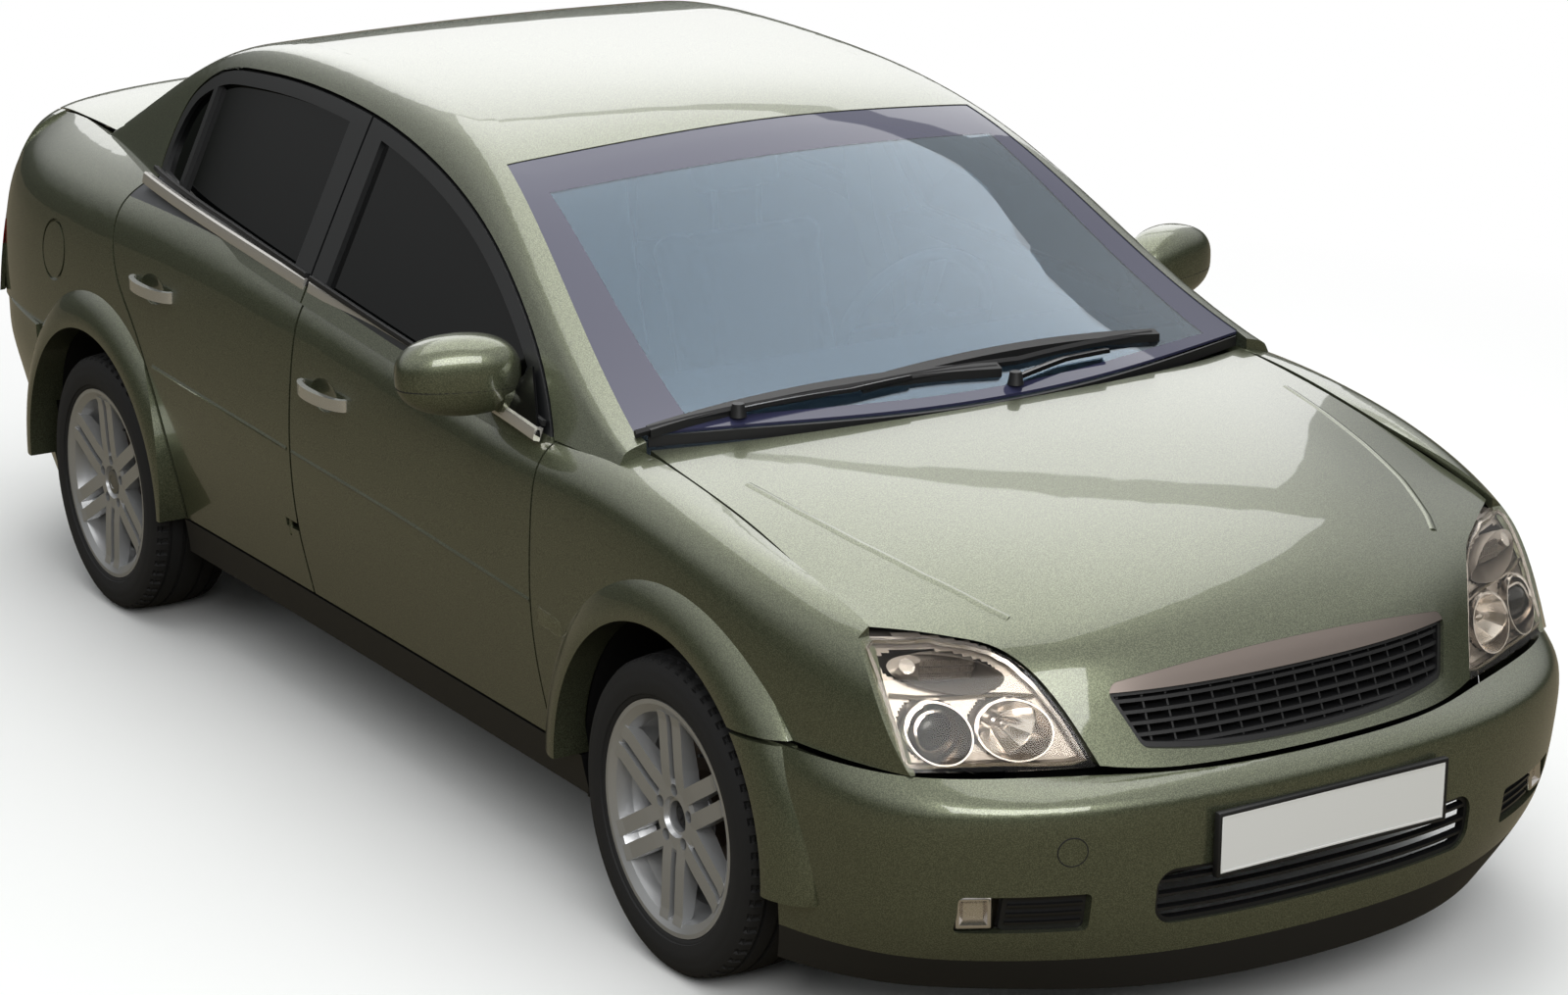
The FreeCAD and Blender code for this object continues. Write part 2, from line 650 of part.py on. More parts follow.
def door_hinges(axis_y, root):
    arms = []
    rooms = []
    for share in hinge_height_shares:
        centre = Vector(door_axis_x, axis_y, up(share))
        reach = Vector(-hinge_reach, 0, 0)
        tall = Vector(0, 0, hinge_half_height)
        wide = Vector(0, hinge_thickness / 2, 0)
        foot = centre - Vector(0, 0, door_pin_reach)
        arms.append(block(centre + reach - wide - tall, centre + wide + tall))
        arms.append(block(centre + reach - Vector(0, root, 0) - tall, centre + reach + Vector(hinge_thickness, 0, 0) + wide + tall))
        arms.append(Part.makeCylinder(door_pin_radius, 2 * door_pin_reach, foot))
        rooms.append(block(centre + reach - Vector(hinge_thickness, 1.2 * hinge_reach, hinge_half_height + hinge_clearance),
                           centre + Vector(hinge_clearance, hinge_thickness, hinge_half_height + hinge_clearance)))
        rooms.append(Part.makeCylinder(door_pin_radius + door_pin_gap, 2 * door_pin_reach + hinge_clearance,
                                       foot - Vector(0, 0, hinge_clearance / 2)))
    return arms, union(rooms)


front_arms, front_hinge_room = door_hinges(along(door_axis_shares["front"]), 70.0)
rear_arms, rear_hinge_room = door_hinges(along(door_axis_shares["rear"]), 58.0)
front_door = largest(front_door.cut(front_hinge_room))
rear_door = largest(rear_door.cut(rear_hinge_room))
front_door = largest(front_door.cut(side_layer(6.0, 30.0).common(side_prism(split_strip(-23.0, -3.0)))))
side_frame_left = union([pillars, side_shell, sill_box, hinge_post, tail_corner, centre_post, post_crown, centre_rib]
                        + front_arms + rear_arms)
side_frame_left = side_frame_left.cut(lid_room).cut(tail_lamp_prism(seat_gap).common(zone(945.0, 1010.0, 400, 900)))
tail_lamp = tail_layer(0, tail_lamp_wall).common(tail_lamp_prism(0)).common(zone(945.0, 1010.0, 400, 900))
tail_lamps = Part.Compound([largest(tail_lamp), flipped(largest(tail_lamp))])

# Boot lid on its swan-neck arms
lid_inner_depth = 45.0
lid_cut = lid_cutter(shut_gap * (lid_gap_share - 1))
lid_core = lid_cutter(shut_gap * (lid_gap_share - 1) - door_inset)
boot_lid = largest(tail_layer(0, panel_depth / 2).common(lid_cut).common(zone(840.0, 1010.0, 452, 900))
                   .fuse(tail_layer(panel_depth / 4, lid_inner_depth).common(lid_core)
                         .common(zone(840.0, 1010.0, 470, 900))))

# Front wings with their flares: rings round the arches that sink into the flank
flare_stand = 20.0
flare_spread = 84.0
flare_root = 48.0
flare_flank_share = 974
flare_profile_shares = [(0.0, 1.0), (0.15, 1.0), (0.5, 0.62), (0.85, -0.1), (1.2, -1.6)]


def flare(y):
    flank = across(flare_flank_share)
    crown = [Vector(flank + flare_stand * rise, 0, arch_radius + flare_spread * reach)
             for reach, rise in flare_profile_shares]
    low = Vector(flank - flare_root, 0, crown[-1].z)
    root = Vector(flank - flare_root, 0, arch_radius)
    ring_face = face_of([crown, [crown[-1], low], [low, root], [root, crown[0]]])
    turned = ring_face.revolve(Vector(0, 0, 0), Vector(1, 0, 0), 360)
    turned.translate(Vector(0, y, tyre_radius))
    return turned


wing_runs = (lamp_outer_shares, [lamp_outer_shares[-1], (91.2, 640)], [(91.2, 640), (240.0, 740)],
             [(240.0, 740), (313.3, 740)], [(313.3, 740), door_front_shares[-1]],
             list(reversed(door_front_shares)), [door_front_shares[0], (250.0, 221)],
             [(250.0, 221), (200.0, 300)], [(200.0, 300), (141.4, 404)], [(141.4, 404), (113.1, 405)],
             [(113.1, 405), lamp_outer_shares[0]])
wing_face = face_of([[side_point(p) for p in run] for run in wing_runs])
bonnet_rear_shares = [(264.5, 806), (241.5, 501), (229.5, 0)]
bonnet_side = [plan_point(p) for p in bonnet_side_shares[:-1] + [bonnet_rear_shares[0]]]
bonnet_rear = [plan_point(p) for p in bonnet_rear_shares]
bonnet_rear_full = bonnet_rear + [Vector(-p.x, p.y, 0) for p in reversed(bonnet_rear[:-1])]
bonnet_front = plan_point((-20.0, bonnet_side_shares[0][1]))
bonnet_plan_face = face_of([bonnet_side, bonnet_rear_full, [Vector(-p.x, p.y, 0) for p in reversed(bonnet_side)],
                            [Vector(-bonnet_side[0].x, bonnet_side[0].y, 0),
                             Vector(-bonnet_front.x, bonnet_front.y, 0)],
                            [Vector(-bonnet_front.x, bonnet_front.y, 0), bonnet_front],
                            [bonnet_front, bonnet_side[0]]])
wing = side_layer(0, panel_depth, side_drop_share).common(side_prism(grown(wing_face, -shut_gap / 4)))
wing = wing.cut(plan_prism(grown(bonnet_plan_face, shut_gap / 2)))
wing = wing.cut(arch_cylinder(front_axle_y, arch_radius, 2 * overrun))
wing_hem = 5.0
wing_hem_reach = 26.0
hem_line = [point + Vector(0, -wing_hem_reach, 0) for point in map(side_point, door_front_shares)]
hem_face = face_of([hem_line, [hem_line[-1], hem_line[-1] + Vector(0, 2 * wing_hem_reach, 0)],
                    [hem_line[-1] + Vector(0, 2 * wing_hem_reach, 0), hem_line[0] + Vector(0, 2 * wing_hem_reach, 0)],
                    [hem_line[0] + Vector(0, 2 * wing_hem_reach, 0), hem_line[0]]])
wing = wing.cut(side_layer(wing_hem, overrun / 2).common(side_prism(hem_face)))
front_flare = flare(front_axle_y).common(side_prism(grown(wing_face, -shut_gap / 4)))
wing_left = largest(wing.fuse(front_flare))
rear_flare = flare(rear_axle_y).common(zone(600.0, 1010.0, 223, 640)).cut(zone(868.5, 1010.0, 0, 445))
rear_flare = rear_flare.cut(union(door_apertures))
side_frame_left = side_frame_left.fuse(rear_flare).cut(wing_left)

# Bonnet with the grille in its nose
bonnet_foot_shares = [(484, 398), (389, 391), (234, 389), (0, 388)]
lamp_edge = [front_point(p) for p in lamp_top_shares]
bonnet_foot = [front_point(p) for p in [lamp_top_shares[-1]] + bonnet_foot_shares[1:]]
bonnet_foot_full = bonnet_foot + [Vector(-p.x, 0, p.z) for p in reversed(bonnet_foot[:-1])]
bonnet_head = front_point((lamp_top_shares[0][0], 760))
bonnet_front_face = face_of([
    lamp_edge, bonnet_foot_full, [Vector(-p.x, 0, p.z) for p in reversed(lamp_edge)],
    [Vector(-lamp_edge[0].x, 0, lamp_edge[0].z), Vector(-bonnet_head.x, 0, bonnet_head.z)],
    [Vector(-bonnet_head.x, 0, bonnet_head.z), bonnet_head], [bonnet_head, lamp_edge[0]]])
grille_shares = [(0, 402), (389, 416), (443, 490), (0, 511)]
grille_bow_shares = [(200, 405), (230, 506)]
grille_corner = 22.0
grille_points = [front_point(p) for p in grille_shares]
grille_bows = [front_point(p) for p in grille_bow_shares]
grille_left = [Vector(-p.x, 0, p.z) for p in grille_points]
grille_left_bows = [Vector(-p.x, 0, p.z) for p in grille_bows]
grille_face = face_of([
    [grille_left[1], grille_left_bows[0], grille_points[0], grille_bows[0], grille_points[1]],
    [grille_points[1], grille_points[2]],
    [grille_points[2], grille_bows[1], grille_points[3], grille_left_bows[1], grille_left[2]],
    [grille_left[2], grille_left[1]]])
grille_core = grown(grille_face, -grille_corner)
grille_face = grown(grille_core, grille_corner)
grille_prism = front_prism(grille_face, front_y - overrun, front_y + overrun)
bonnet_prism = front_prism(grown(bonnet_front_face, -shut_gap / 2), front_y - overrun, 0)
bonnet = nose_layer(0, panel_depth).common(bonnet_prism)
bonnet = largest(bonnet.common(plan_prism(grown(bonnet_plan_face, -shut_gap / 2))).cut(grille_prism))

# Grille: a bright bar over a black frame of slats and ribs
grille_bar_share = 481
grille_depth = 34.0
grille_recess = 8.0
grille_rim = 9.0
slat_count = 5
slat_height = 6.0
rib_spacing = 46.0
rib_width = 4.0
bar_zone = zone(-50.0, 100.0, grille_bar_share, 600)
bar_face = grown(grille_core, grille_corner - seat_gap)
grille_bar = largest(nose_layer(0, 2 * grille_recess).common(front_prism(bar_face, front_y - overrun, front_y + overrun))
                     .common(bar_zone))
mesh_top = up(grille_bar_share)
mesh_foot = up(grille_shares[0][1])
mesh_face = bar_face.common(polygon([Vector(-half_width, 0, 0), Vector(half_width, 0, 0),
                                     Vector(half_width, 0, mesh_top), Vector(-half_width, 0, mesh_top)])).Faces[0]
mesh_hole = grown(mesh_face, -grille_rim)
mesh_ring = nose_layer(grille_recess, grille_depth).common(
    front_prism(mesh_face, front_y - overrun, front_y + overrun).cut(
        front_prism(mesh_hole, front_y - overrun, front_y + overrun)))
slat_pitch = (mesh_top - mesh_foot) / (slat_count + 1)
slats = [block(Vector(-half_width, front_y - overrun, mesh_foot + slat_pitch * (i + 1) - slat_height / 2),
               Vector(half_width, front_y + overrun, mesh_foot + slat_pitch * (i + 1) + slat_height / 2))
         for i in range(slat_count)]
rib_count = int(across(grille_shares[2][0]) / rib_spacing)
ribs = [block(Vector(i * rib_spacing - rib_width / 2, front_y - overrun, 0),
              Vector(i * rib_spacing + rib_width / 2, front_y + overrun, height))
        for i in range(-rib_count, rib_count + 1)]
mesh_room = front_prism(mesh_face, front_y - overrun, front_y + overrun)
grille_slats = nose_layer(1.5 * grille_recess, grille_depth).common(mesh_room).common(union(slats))
grille_ribs = nose_layer(2 * grille_recess, grille_depth).common(mesh_room).common(union(ribs))
grille_mesh = largest(union([mesh_ring, grille_slats, grille_ribs]))

# Headlamps: a clear cover over a hollow housing with two reflectors
cover_thickness = 4.0
housing_wall = 5.0
housing_depth = 130.0
lamp_foot_shares = [(484, 398), (690, 401), (860, 405)]
lamp_room_face = face_of([list(reversed(lamp_edge)), [lamp_edge[0], front_point((860, 556))],
                          [front_point((860, 556)), front_point(lamp_foot_shares[-1])],
                          [front_point(p) for p in reversed(lamp_foot_shares)]])
lamp_front_face = face_of([[side_point(p) for p in lamp_outer_shares],
                           [side_point(lamp_outer_shares[-1]), side_point((0.0, 560))],
                           [side_point((0.0, 560)), side_point((0.0, 390))],
                           [side_point((0.0, 390)), side_point(lamp_outer_shares[0])]])
lamp_front_room = side_prism(grown(lamp_front_face, -seat_gap * 5))


def lamp_room(shrink, start, end):
    return front_prism(grown(lamp_room_face, -shrink), start, end)


headlamp_cover = nose_layer(0, cover_thickness).common(lamp_room(seat_gap * 5, front_y, 0))
headlamp_cover = largest(headlamp_cover.common(lamp_front_room).cut(wing_left))


def nose_back(near, far):
    return slab_between(shifted(nose_net, Vector(0, near, 0)), shifted(nose_net, Vector(0, far, 0)))


housing_zone = zone(0.0, 120.0, 380, 560, 400, 760)
housing_outer = nose_back(3 * cover_thickness, housing_depth).common(lamp_room(2 * housing_wall, front_y, 0))
housing_outer = housing_outer.common(housing_zone)
housing_inner = nose_back(0, housing_depth - housing_wall).common(lamp_room(3 * housing_wall, front_y, 0))
housing_inner = housing_inner.common(zone(0.0, 120.0, 380, 560, 400, 752))
headlamp_bowl = largest(housing_outer.cut(housing_inner))

# Bumpers, black lip and lower grille
lip_top_share = 158
front_shell = slab_between(front_bumper_net, inward(front_bumper_net, bumper_depth))
front_arch_both = Part.makeCylinder(arch_radius, 2 * width, Vector(-width, front_axle_y, tyre_radius), Vector(1, 0, 0))
rear_arch_both = Part.makeCylinder(arch_radius, 2 * width, Vector(-width, rear_axle_y, tyre_radius), Vector(1, 0, 0))
air_opening_shares = (408, 199, 274)
side_opening_shares = (538, 772, 202, 253)
slot_shares = (538, 690, 202, 253)
fog_shares = (694, 772, 202, 253)
side_corner_share = 0.14


def mouth(x_low, x_high, z_low, z_high, radius_share=0.35):
    radius = (up(z_high) - up(z_low)) * radius_share
    face = polygon([front_point(p) for p in ((x_low, z_low), (x_high, z_low), (x_high, z_high), (x_low, z_high))])
    return grown(grown(face, -radius), radius)


air_mouth = mouth(-air_opening_shares[0], air_opening_shares[0], *air_opening_shares[1:])
side_mouth = mouth(*side_opening_shares, side_corner_share)
slot_mouth = mouth(*slot_shares, side_corner_share)
fog_mouth = mouth(*fog_shares, side_corner_share)
mouth_reach = (front_y - overrun, front_y + overrun)
bumper_flare = flare(front_axle_y).common(zone(-50.0, 160.0, 205, 400)).cut(front_arch_both)
front_bumper = front_shell.cut(front_arch_both).common(zone(-50.0, 160.0, lip_top_share, 450))
front_bumper = front_bumper.fuse([bumper_flare, flipped(bumper_flare)]).cut(wing_left).cut(flipped(wing_left))
for opening in (air_mouth, side_mouth):
    cutter = front_prism(opening, *mouth_reach)
    front_bumper = front_bumper.cut(cutter)
    if opening is not air_mouth:
        front_bumper = front_bumper.cut(flipped(cutter))
front_bumper = largest(front_bumper)
front_lip = largest(front_shell.cut(front_arch_both).common(zone(-50.0, 160.0, 100, lip_top_share)))
rear_shell = slab_between(rear_bumper_net, inward(rear_bumper_net, -bumper_depth))
rear_bumper_flare = flare(rear_axle_y).common(zone(868.5, 1050.0, 205, 445))
tail_pipe_room = Part.makeCylinder(34.0, overrun, Vector(-430.0, half_length - overrun / 2, 200.0), Vector(0, 1, 0))
rear_bumper = rear_shell.cut(rear_arch_both).common(zone(868.5, 1050.0, 130, 445))
rear_bumper = largest(rear_bumper.fuse([rear_bumper_flare, flipped(rear_bumper_flare)]).cut(tail_pipe_room))
side_frame_left = largest(side_frame_left.cut(rear_bumper))
lower_slats = [block(Vector(-half_width, front_y - overrun, up(z) - slat_height / 2),
                     Vector(half_width, front_y + overrun, up(z) + slat_height / 2)) for z in (218, 237, 256)]
lower_room = front_prism(grown(air_mouth, -seat_gap), *mouth_reach)
lower_hole = front_prism(grown(air_mouth, -grille_rim), *mouth_reach)
lower_layer = slab_between(inward(front_bumper_net, grille_recess), inward(front_bumper_net, bumper_depth))
slot_room = front_prism(grown(slot_mouth, -seat_gap), *mouth_reach)
slot_back = slab_between(inward(front_bumper_net, 2 * grille_recess), inward(front_bumper_net, bumper_depth))
air_grille = largest(lower_layer.common(lower_room.cut(lower_hole)).fuse(
    lower_layer.common(lower_room).common(union(lower_slats))))
slot_blank = largest(slot_back.common(slot_room))
bumper_grilles = Part.Compound([air_grille, slot_blank, flipped(slot_blank)])
fog_room = front_prism(grown(fog_mouth, -seat_gap), *mouth_reach)
fog_lamp = largest(slot_back.common(fog_room))
fog_lamps = Part.Compound([fog_lamp, flipped(fog_lamp)])

# Sill trims
sill_trim_zone = zone(266.0, 718.0, 161, 219)
sill_trim = side_layer(0, 2 * panel_depth).common(sill_trim_zone).cut(front_arch).cut(rear_arch).cut(side_frame_left)
sill_trim = largest(sill_trim.cut(wing_left))
sill_trims = Part.Compound([sill_trim, flipped(sill_trim)])


# Wheels
def ring(points):
    wire = Part.makePolygon(points + [points[0]])
    return Part.Face(wire).revolve(Vector(0, 0, 0), Vector(1, 0, 0), 360)


def tyre_solid():
    half = tyre_width / 2
    side = tyre_radius - rim_radius
    bore = rim_radius + bead_clearance
    bead = rim_width / 2 - bead_clearance
    flange = rim_radius + rim_flange_height + bead_clearance
    outer = [(bead, bore), (bead, bore + rim_flange_height * 0.5), (bead + rim_wall * 0.3, flange),
             (bead + rim_wall * 0.9, flange + 4 * bead_clearance), (half, bore + side * 0.5),
             (half - side * 0.05, bore + side * 0.78), (half - side * 0.16, tyre_radius - side * 0.06),
             (half - side * 0.35, tyre_radius - side * 0.01), (0, tyre_radius)]
    wall = side * 0.12
    inner = [(0, tyre_radius - wall), (half - side * 0.3, tyre_radius - 1.1 * wall),
             (half - wall - side * 0.05, bore + side * 0.7), (half - wall, bore + side * 0.45),
             (bead - wall * 0.8, bore)]
    right = [Vector(x, 0, r) for x, r in outer]
    left = [Vector(-x, 0, r) for x, r in reversed(outer[:-1])]
    inner_left = [Vector(-x, 0, r) for x, r in reversed(inner[1:])]
    inner_right = [Vector(x, 0, r) for x, r in inner]
    runs = [(right + left)[:], inner_left + inner_right]
    face = Part.Face(Part.Wire(Part.makePolygon(runs[0] + runs[1] + [runs[0][0]])))
    return face.revolve(Vector(0, 0, 0), Vector(1, 0, 0), 360)


def rim_solid():
    half = rim_width / 2
    flange = rim_radius + rim_flange_height
    well = rim_radius - rim_well_depth
    outer = [(half + rim_wall, flange), (half + rim_wall * 0.3, flange), (half, rim_radius + rim_flange_height * 0.5),
             (half, rim_radius), (half - 30 * rim_wall / 9, rim_radius - rim_wall * 0.3), (half * 0.3, well),
             (-half * 0.3, well), (-half * 0.7, rim_radius - rim_wall * 0.3), (-half, rim_radius),
             (-half, rim_radius + rim_flange_height * 0.5), (-half - rim_wall * 0.3, flange),
             (-half - rim_wall, flange)]
    inner = [(-half - rim_wall, flange - rim_wall), (-half, rim_radius - rim_wall), (-half * 0.7, rim_radius - 1.5 * rim_wall),
             (-half * 0.3, well - rim_wall), (half * 0.3, well - rim_wall),
             (half - 30 * rim_wall / 9, rim_radius - 2 * rim_wall), (half, rim_radius - rim_wall),
             (half + rim_wall, flange - rim_wall)]
    barrel = ring([Vector(x, 0, r) for x, r in outer + inner])
    face_x = hub_face
    hub = ring([Vector(x, 0, r) for x, r in (
        (rim_offset, hub_bore / 2), (rim_offset, hub_face_radius + rim_wall),
        (face_x - rim_wall * 0.5, hub_face_radius + rim_wall), (face_x, hub_face_radius), (face_x, hub_face_radius * 0.62),
        (face_x - rim_wall, hub_face_radius * 0.56), (face_x - rim_wall, hub_bore / 2))])
    spoke_points = [(face_x - spoke_depth, hub_face_radius * 0.8), (face_x - spoke_depth * 0.9, hub_face_radius * 1.5),
                    (half - spoke_depth * 0.7, rim_radius - rim_well_depth), (half - rim_wall, rim_radius - rim_wall * 0.8),
                    (half + rim_wall * 0.5, rim_radius - rim_wall * 0.5), (half, rim_radius - rim_well_depth),
                    (face_x + rim_wall * 0.5, hub_face_radius * 1.5), (face_x, hub_face_radius * 0.8)]
    spoke = Part.Face(Part.makePolygon([Vector(x, -spoke_width / 2, r) for x, r in spoke_points + spoke_points[:1]]))
    spoke = spoke.extrude(Vector(0, spoke_width, 0))
    spokes = []
    for pair in range(spoke_pairs):
        for side in (-1, 1):
            piece = spoke.copy()
            piece.translate(Vector(0, side * spoke_pair_spread, 0))
            piece.rotate(Vector(0, 0, 0), Vector(1, 0, 0), 360 / spoke_pairs * pair)
            spokes.append(piece)
    rim = union([barrel, hub] + spokes)
    for i in range(bolt_count):
        hole = Part.makeCylinder(bolt_hole / 2, width, Vector(-half_width, 0, bolt_circle / 2), Vector(1, 0, 0))
        hole.rotate(Vector(0, 0, 0), Vector(1, 0, 0), 360 / bolt_count * i)
        rim = rim.cut(hole)
    rim = rim.cut(Part.makeCylinder(hub_bore / 2, width, Vector(-half_width, 0, 0), Vector(1, 0, 0)))
    return largest(rim)


hub_length = 60.0
hub_radius = 70.0
disc_radius = 150.0
disc_hat_radius = 78.0
stub_radius = 18.0


def brake_solid(radius):
    face = rim_offset
    points = [(face, stub_radius + 2 * seat_gap), (face, disc_hat_radius), (face - disc_thickness * 1.6, disc_hat_radius),
              (face - disc_thickness * 1.6, radius), (face - disc_thickness * 2.4, radius),
              (face - disc_thickness * 2.4, disc_hat_radius - 2 * rim_wall),
              (face - hub_length * 0.9, stub_radius * 2), (face - hub_length, stub_radius * 2),
              (face - hub_length, stub_radius + 2 * seat_gap)]
    return ring([Vector(x, 0, r) for x, r in points])


def at_wheel(shape, track, y, mirrored):
    piece = shape.copy()
    piece.translate(Vector(track / 2, y, tyre_radius))
    return flipped(piece) if mirrored else piece


tyre = tyre_solid()
rim = rim_solid()
front_brake = brake_solid(disc_radius)
rear_brake = brake_solid(disc_radius * 0.93)

# Steering knuckles with strut, caliper and stub, turning about a leaning kingpin
kingpin_foot = Vector(715.0, front_axle_y, 205.0)
kingpin_head = Vector(606.0, front_axle_y, 800.0)
kingpin = kingpin_head - kingpin_foot
kingpin_length = kingpin.Length
kingpin.normalize()
strut_radius = 22.0
spring_radius = 62.0
strut_foot = Vector(612.0, front_axle_y, 300.0)
strut_head = kingpin_head - kingpin * 14.0
strut_length = (strut_head - strut_foot).Length
strut_way = (strut_head - strut_foot).normalize()
joint_pin_radius = 14.0
joint_gap = 12.0
upright_width = 90.0
upright_thickness = 36.0
knuckle_plane = front_track / 2 + rim_offset - hub_length - upright_thickness - 6 * seat_gap
strut = Part.makeCylinder(strut_radius, strut_length, strut_foot, strut_way)
strut_pin = Part.makeCylinder(joint_pin_radius, 3 * joint_gap, kingpin_head - kingpin * 3 * joint_gap, kingpin)
lower_pin = Part.makeCylinder(joint_pin_radius, 3 * joint_gap, kingpin_foot, kingpin)
spring = Part.makeCylinder(spring_radius, strut_length * 0.22, strut_foot + strut_way * strut_length * 0.72, strut_way)
strut_link = block(Vector(strut_foot.x - strut_radius, front_axle_y - upright_width * 0.4, strut_foot.z + 2 * upright_thickness),
                   Vector(knuckle_plane, front_axle_y + upright_width * 0.4, strut_foot.z + 4 * upright_thickness))
upright = block(Vector(knuckle_plane - upright_thickness, front_axle_y - upright_width / 2, kingpin_foot.z + joint_gap),
                Vector(knuckle_plane + upright_thickness, front_axle_y + upright_width / 2, tyre_radius + 1.4 * upright_width))
stub = Part.makeCylinder(stub_radius, hub_length * 1.4, Vector(knuckle_plane, front_axle_y, tyre_radius), Vector(1, 0, 0))
caliper_width = 70.0
caliper_height = 120.0
disc_gap = 5.0
disc_plane = front_track / 2 + rim_offset - disc_thickness * 2.0


def caliper_solid(radius, plane, y, reach, plane_low):
    inner = disc_gap + disc_thickness * 0.4
    outer_ring = Part.makeCylinder(radius + 3.4 * disc_gap, caliper_width, Vector(plane - caliper_width / 2, y, tyre_radius),
                                   Vector(1, 0, 0))
    hole = Part.makeCylinder(radius - reach, 2 * caliper_width, Vector(plane - caliper_width, y, tyre_radius), Vector(1, 0, 0))
    slot = Part.makeCylinder(radius + disc_gap, 2 * inner, Vector(plane - inner, y, tyre_radius), Vector(1, 0, 0))
    wedge = block(Vector(plane - caliper_width, y + radius * 0.45, tyre_radius - caliper_height / 2),
                  Vector(plane + caliper_width * 0.42, y + 2 * radius, tyre_radius + caliper_height / 2))
    body = outer_ring.cut(hole).cut(slot).common(wedge)
    bracket = block(Vector(plane_low, y, tyre_radius - caliper_height / 4),
                    Vector(plane - inner, y + radius - reach + disc_gap, tyre_radius + caliper_height / 4))
    return body.fuse(bracket)


caliper_reach = 52.0
front_caliper = caliper_solid(disc_radius, disc_plane, front_axle_y, caliper_reach, knuckle_plane)
keep_clear = Part.makeCylinder(hub_radius * 0.75, hub_length * 3, Vector(knuckle_plane + upright_thickness + seat_gap,
                                                                       front_axle_y, tyre_radius), Vector(1, 0, 0))
knuckle_left = largest(union([strut, strut_pin, lower_pin, spring, strut_link, upright, front_caliper.cut(keep_clear), stub]))

# Underbody
floor_share = 160
tunnel_share = 245


def plate(t_low, t_high, x_low, x_high, z_low):
    low = Vector(across(x_low), along(t_low), up(z_low))
    return block(low, Vector(across(x_high), along(t_high), low.z + floor_thickness))


def liner(y, x_low, x_high):
    radius = arch_radius + seat_gap * 10
    outer = Part.makeCylinder(radius + liner_wall, x_high - x_low, Vector(x_low, y, tyre_radius), Vector(1, 0, 0))
    inner = Part.makeCylinder(radius, x_high - x_low, Vector(x_low, y, tyre_radius), Vector(1, 0, 0))
    upper = block(Vector(x_low, y - 2 * radius, tyre_radius - radius * 0.22), Vector(x_high, y + 2 * radius, height))
    end = Part.makeCylinder(radius + liner_wall, liner_wall, Vector(x_low, y, tyre_radius), Vector(1, 0, 0))
    return outer.cut(inner).fuse(end).common(upper)


liner_wall = 5.0
front_liner_inner = 470.0
rear_liner_inner = 590.0
liner_outer = 820.0
strut_hole = Part.makeCylinder(spring_radius + 3 * joint_gap, 1.5 * kingpin_length, kingpin_foot - kingpin * 100.0, kingpin)
front_liner = liner(front_axle_y, front_liner_inner, liner_outer).cut(strut_hole)
rear_liner = liner(rear_axle_y, rear_liner_inner, liner_outer)
tower_top = block(Vector(front_liner_inner, front_axle_y - 110.0, kingpin_head.z + disc_gap),
                  Vector(across(770), front_axle_y + 110.0, kingpin_head.z + disc_gap + 20.0))
top_bearing = Part.makeCylinder(strut_radius + 20.0, 30.0, kingpin_head + kingpin * seat_gap, kingpin)
tower_top = tower_top.fuse(top_bearing)
tower_wall = block(Vector(front_liner_inner, front_axle_y - 110.0, tyre_radius + arch_radius * 0.8),
                   Vector(front_liner_inner + 12.0, front_axle_y + 110.0, kingpin_head.z + disc_gap + 20.0))
rail = zone(70.0, 285.0, 250, 320, 450, 520)
groove = zone(270.0, 662.0, 0, 226, -100, 100)
axle_slot = block(Vector(front_liner_inner, rear_axle_y - 60.0, 0), Vector(half_width, rear_axle_y + 60.0, 360.0))
tunnel = zone(278.0, 655.0, floor_share, tunnel_share, -125, 125)
under_pieces = [plate(278.0, 660.0, -800, 800, floor_share).fuse(tunnel).cut(groove),
                zone(278.0, 284.0, tunnel_share - 19, 600, -800, 800), plate(655.0, 962.0, -625, 625, 215),
                zone(278.0, 284.0, floor_share, tunnel_share, -800, -100),
                zone(278.0, 284.0, floor_share, tunnel_share, 100, 800),
                zone(655.0, 660.0, floor_share, 236, -800, -100), zone(655.0, 660.0, floor_share, 236, 100, 800),
                zone(655.0, 660.0, 215, 236, -120, 120),
                zone(958.0, 963.0, 215, 438, -625, 625),
                zone(756.0, 762.0, 230, 700, -625, 625), plate(756.0, 846.0, -560, 560, 690),
                zone(62.0, 70.0, 180, 470, -560, 560), zone(30.0, 40.0, 285, 350, -420, 420),
                zone(38.0, 64.0, 290, 340, 250, 320), zone(38.0, 64.0, 290, 340, -320, -250)]
ledge = zone(655.0, 706.0, floor_share, 236, 625, 800)
for piece in (front_liner, rear_liner.cut(axle_slot), tower_top, tower_wall, rail, ledge,
              zone(655.0, 962.0, 165, 216, 500, 560), zone(278.0, 700.0, 160, 205, 735, 745)):
    under_pieces += [piece, flipped(piece)]
axle_room = block(Vector(-half_width, rear_axle_y - 60.0, 0), Vector(half_width, rear_axle_y + 60.0, up(214)))
sill_face_room = block(Vector(-half_width, along(650.0), 0), Vector(half_width, along(705.5), up(floor_share)))
underbody = union(under_pieces).cut(axle_room).cut(sill_face_room)
for neighbour in (side_frame_left, flipped(side_frame_left), headlamp_bowl, flipped(headlamp_bowl), front_bumper,
                  rear_bumper, sill_trim, flipped(sill_trim), wing_left, flipped(wing_left)):
    underbody = underbody.cut(neighbour)
underbody = largest(underbody)

# Engine block, radiator side unseen
engine = block(Vector(-330.0, along(98.0), 240.0), Vector(330.0, along(222.0), 690.0))
engine_mounts = [block(Vector(-across(450), along(150.0), up(255)), Vector(-330.0, along(170.0), up(290))),
                 block(Vector(330.0, along(150.0), up(255)), Vector(across(450), along(170.0), up(290)))]

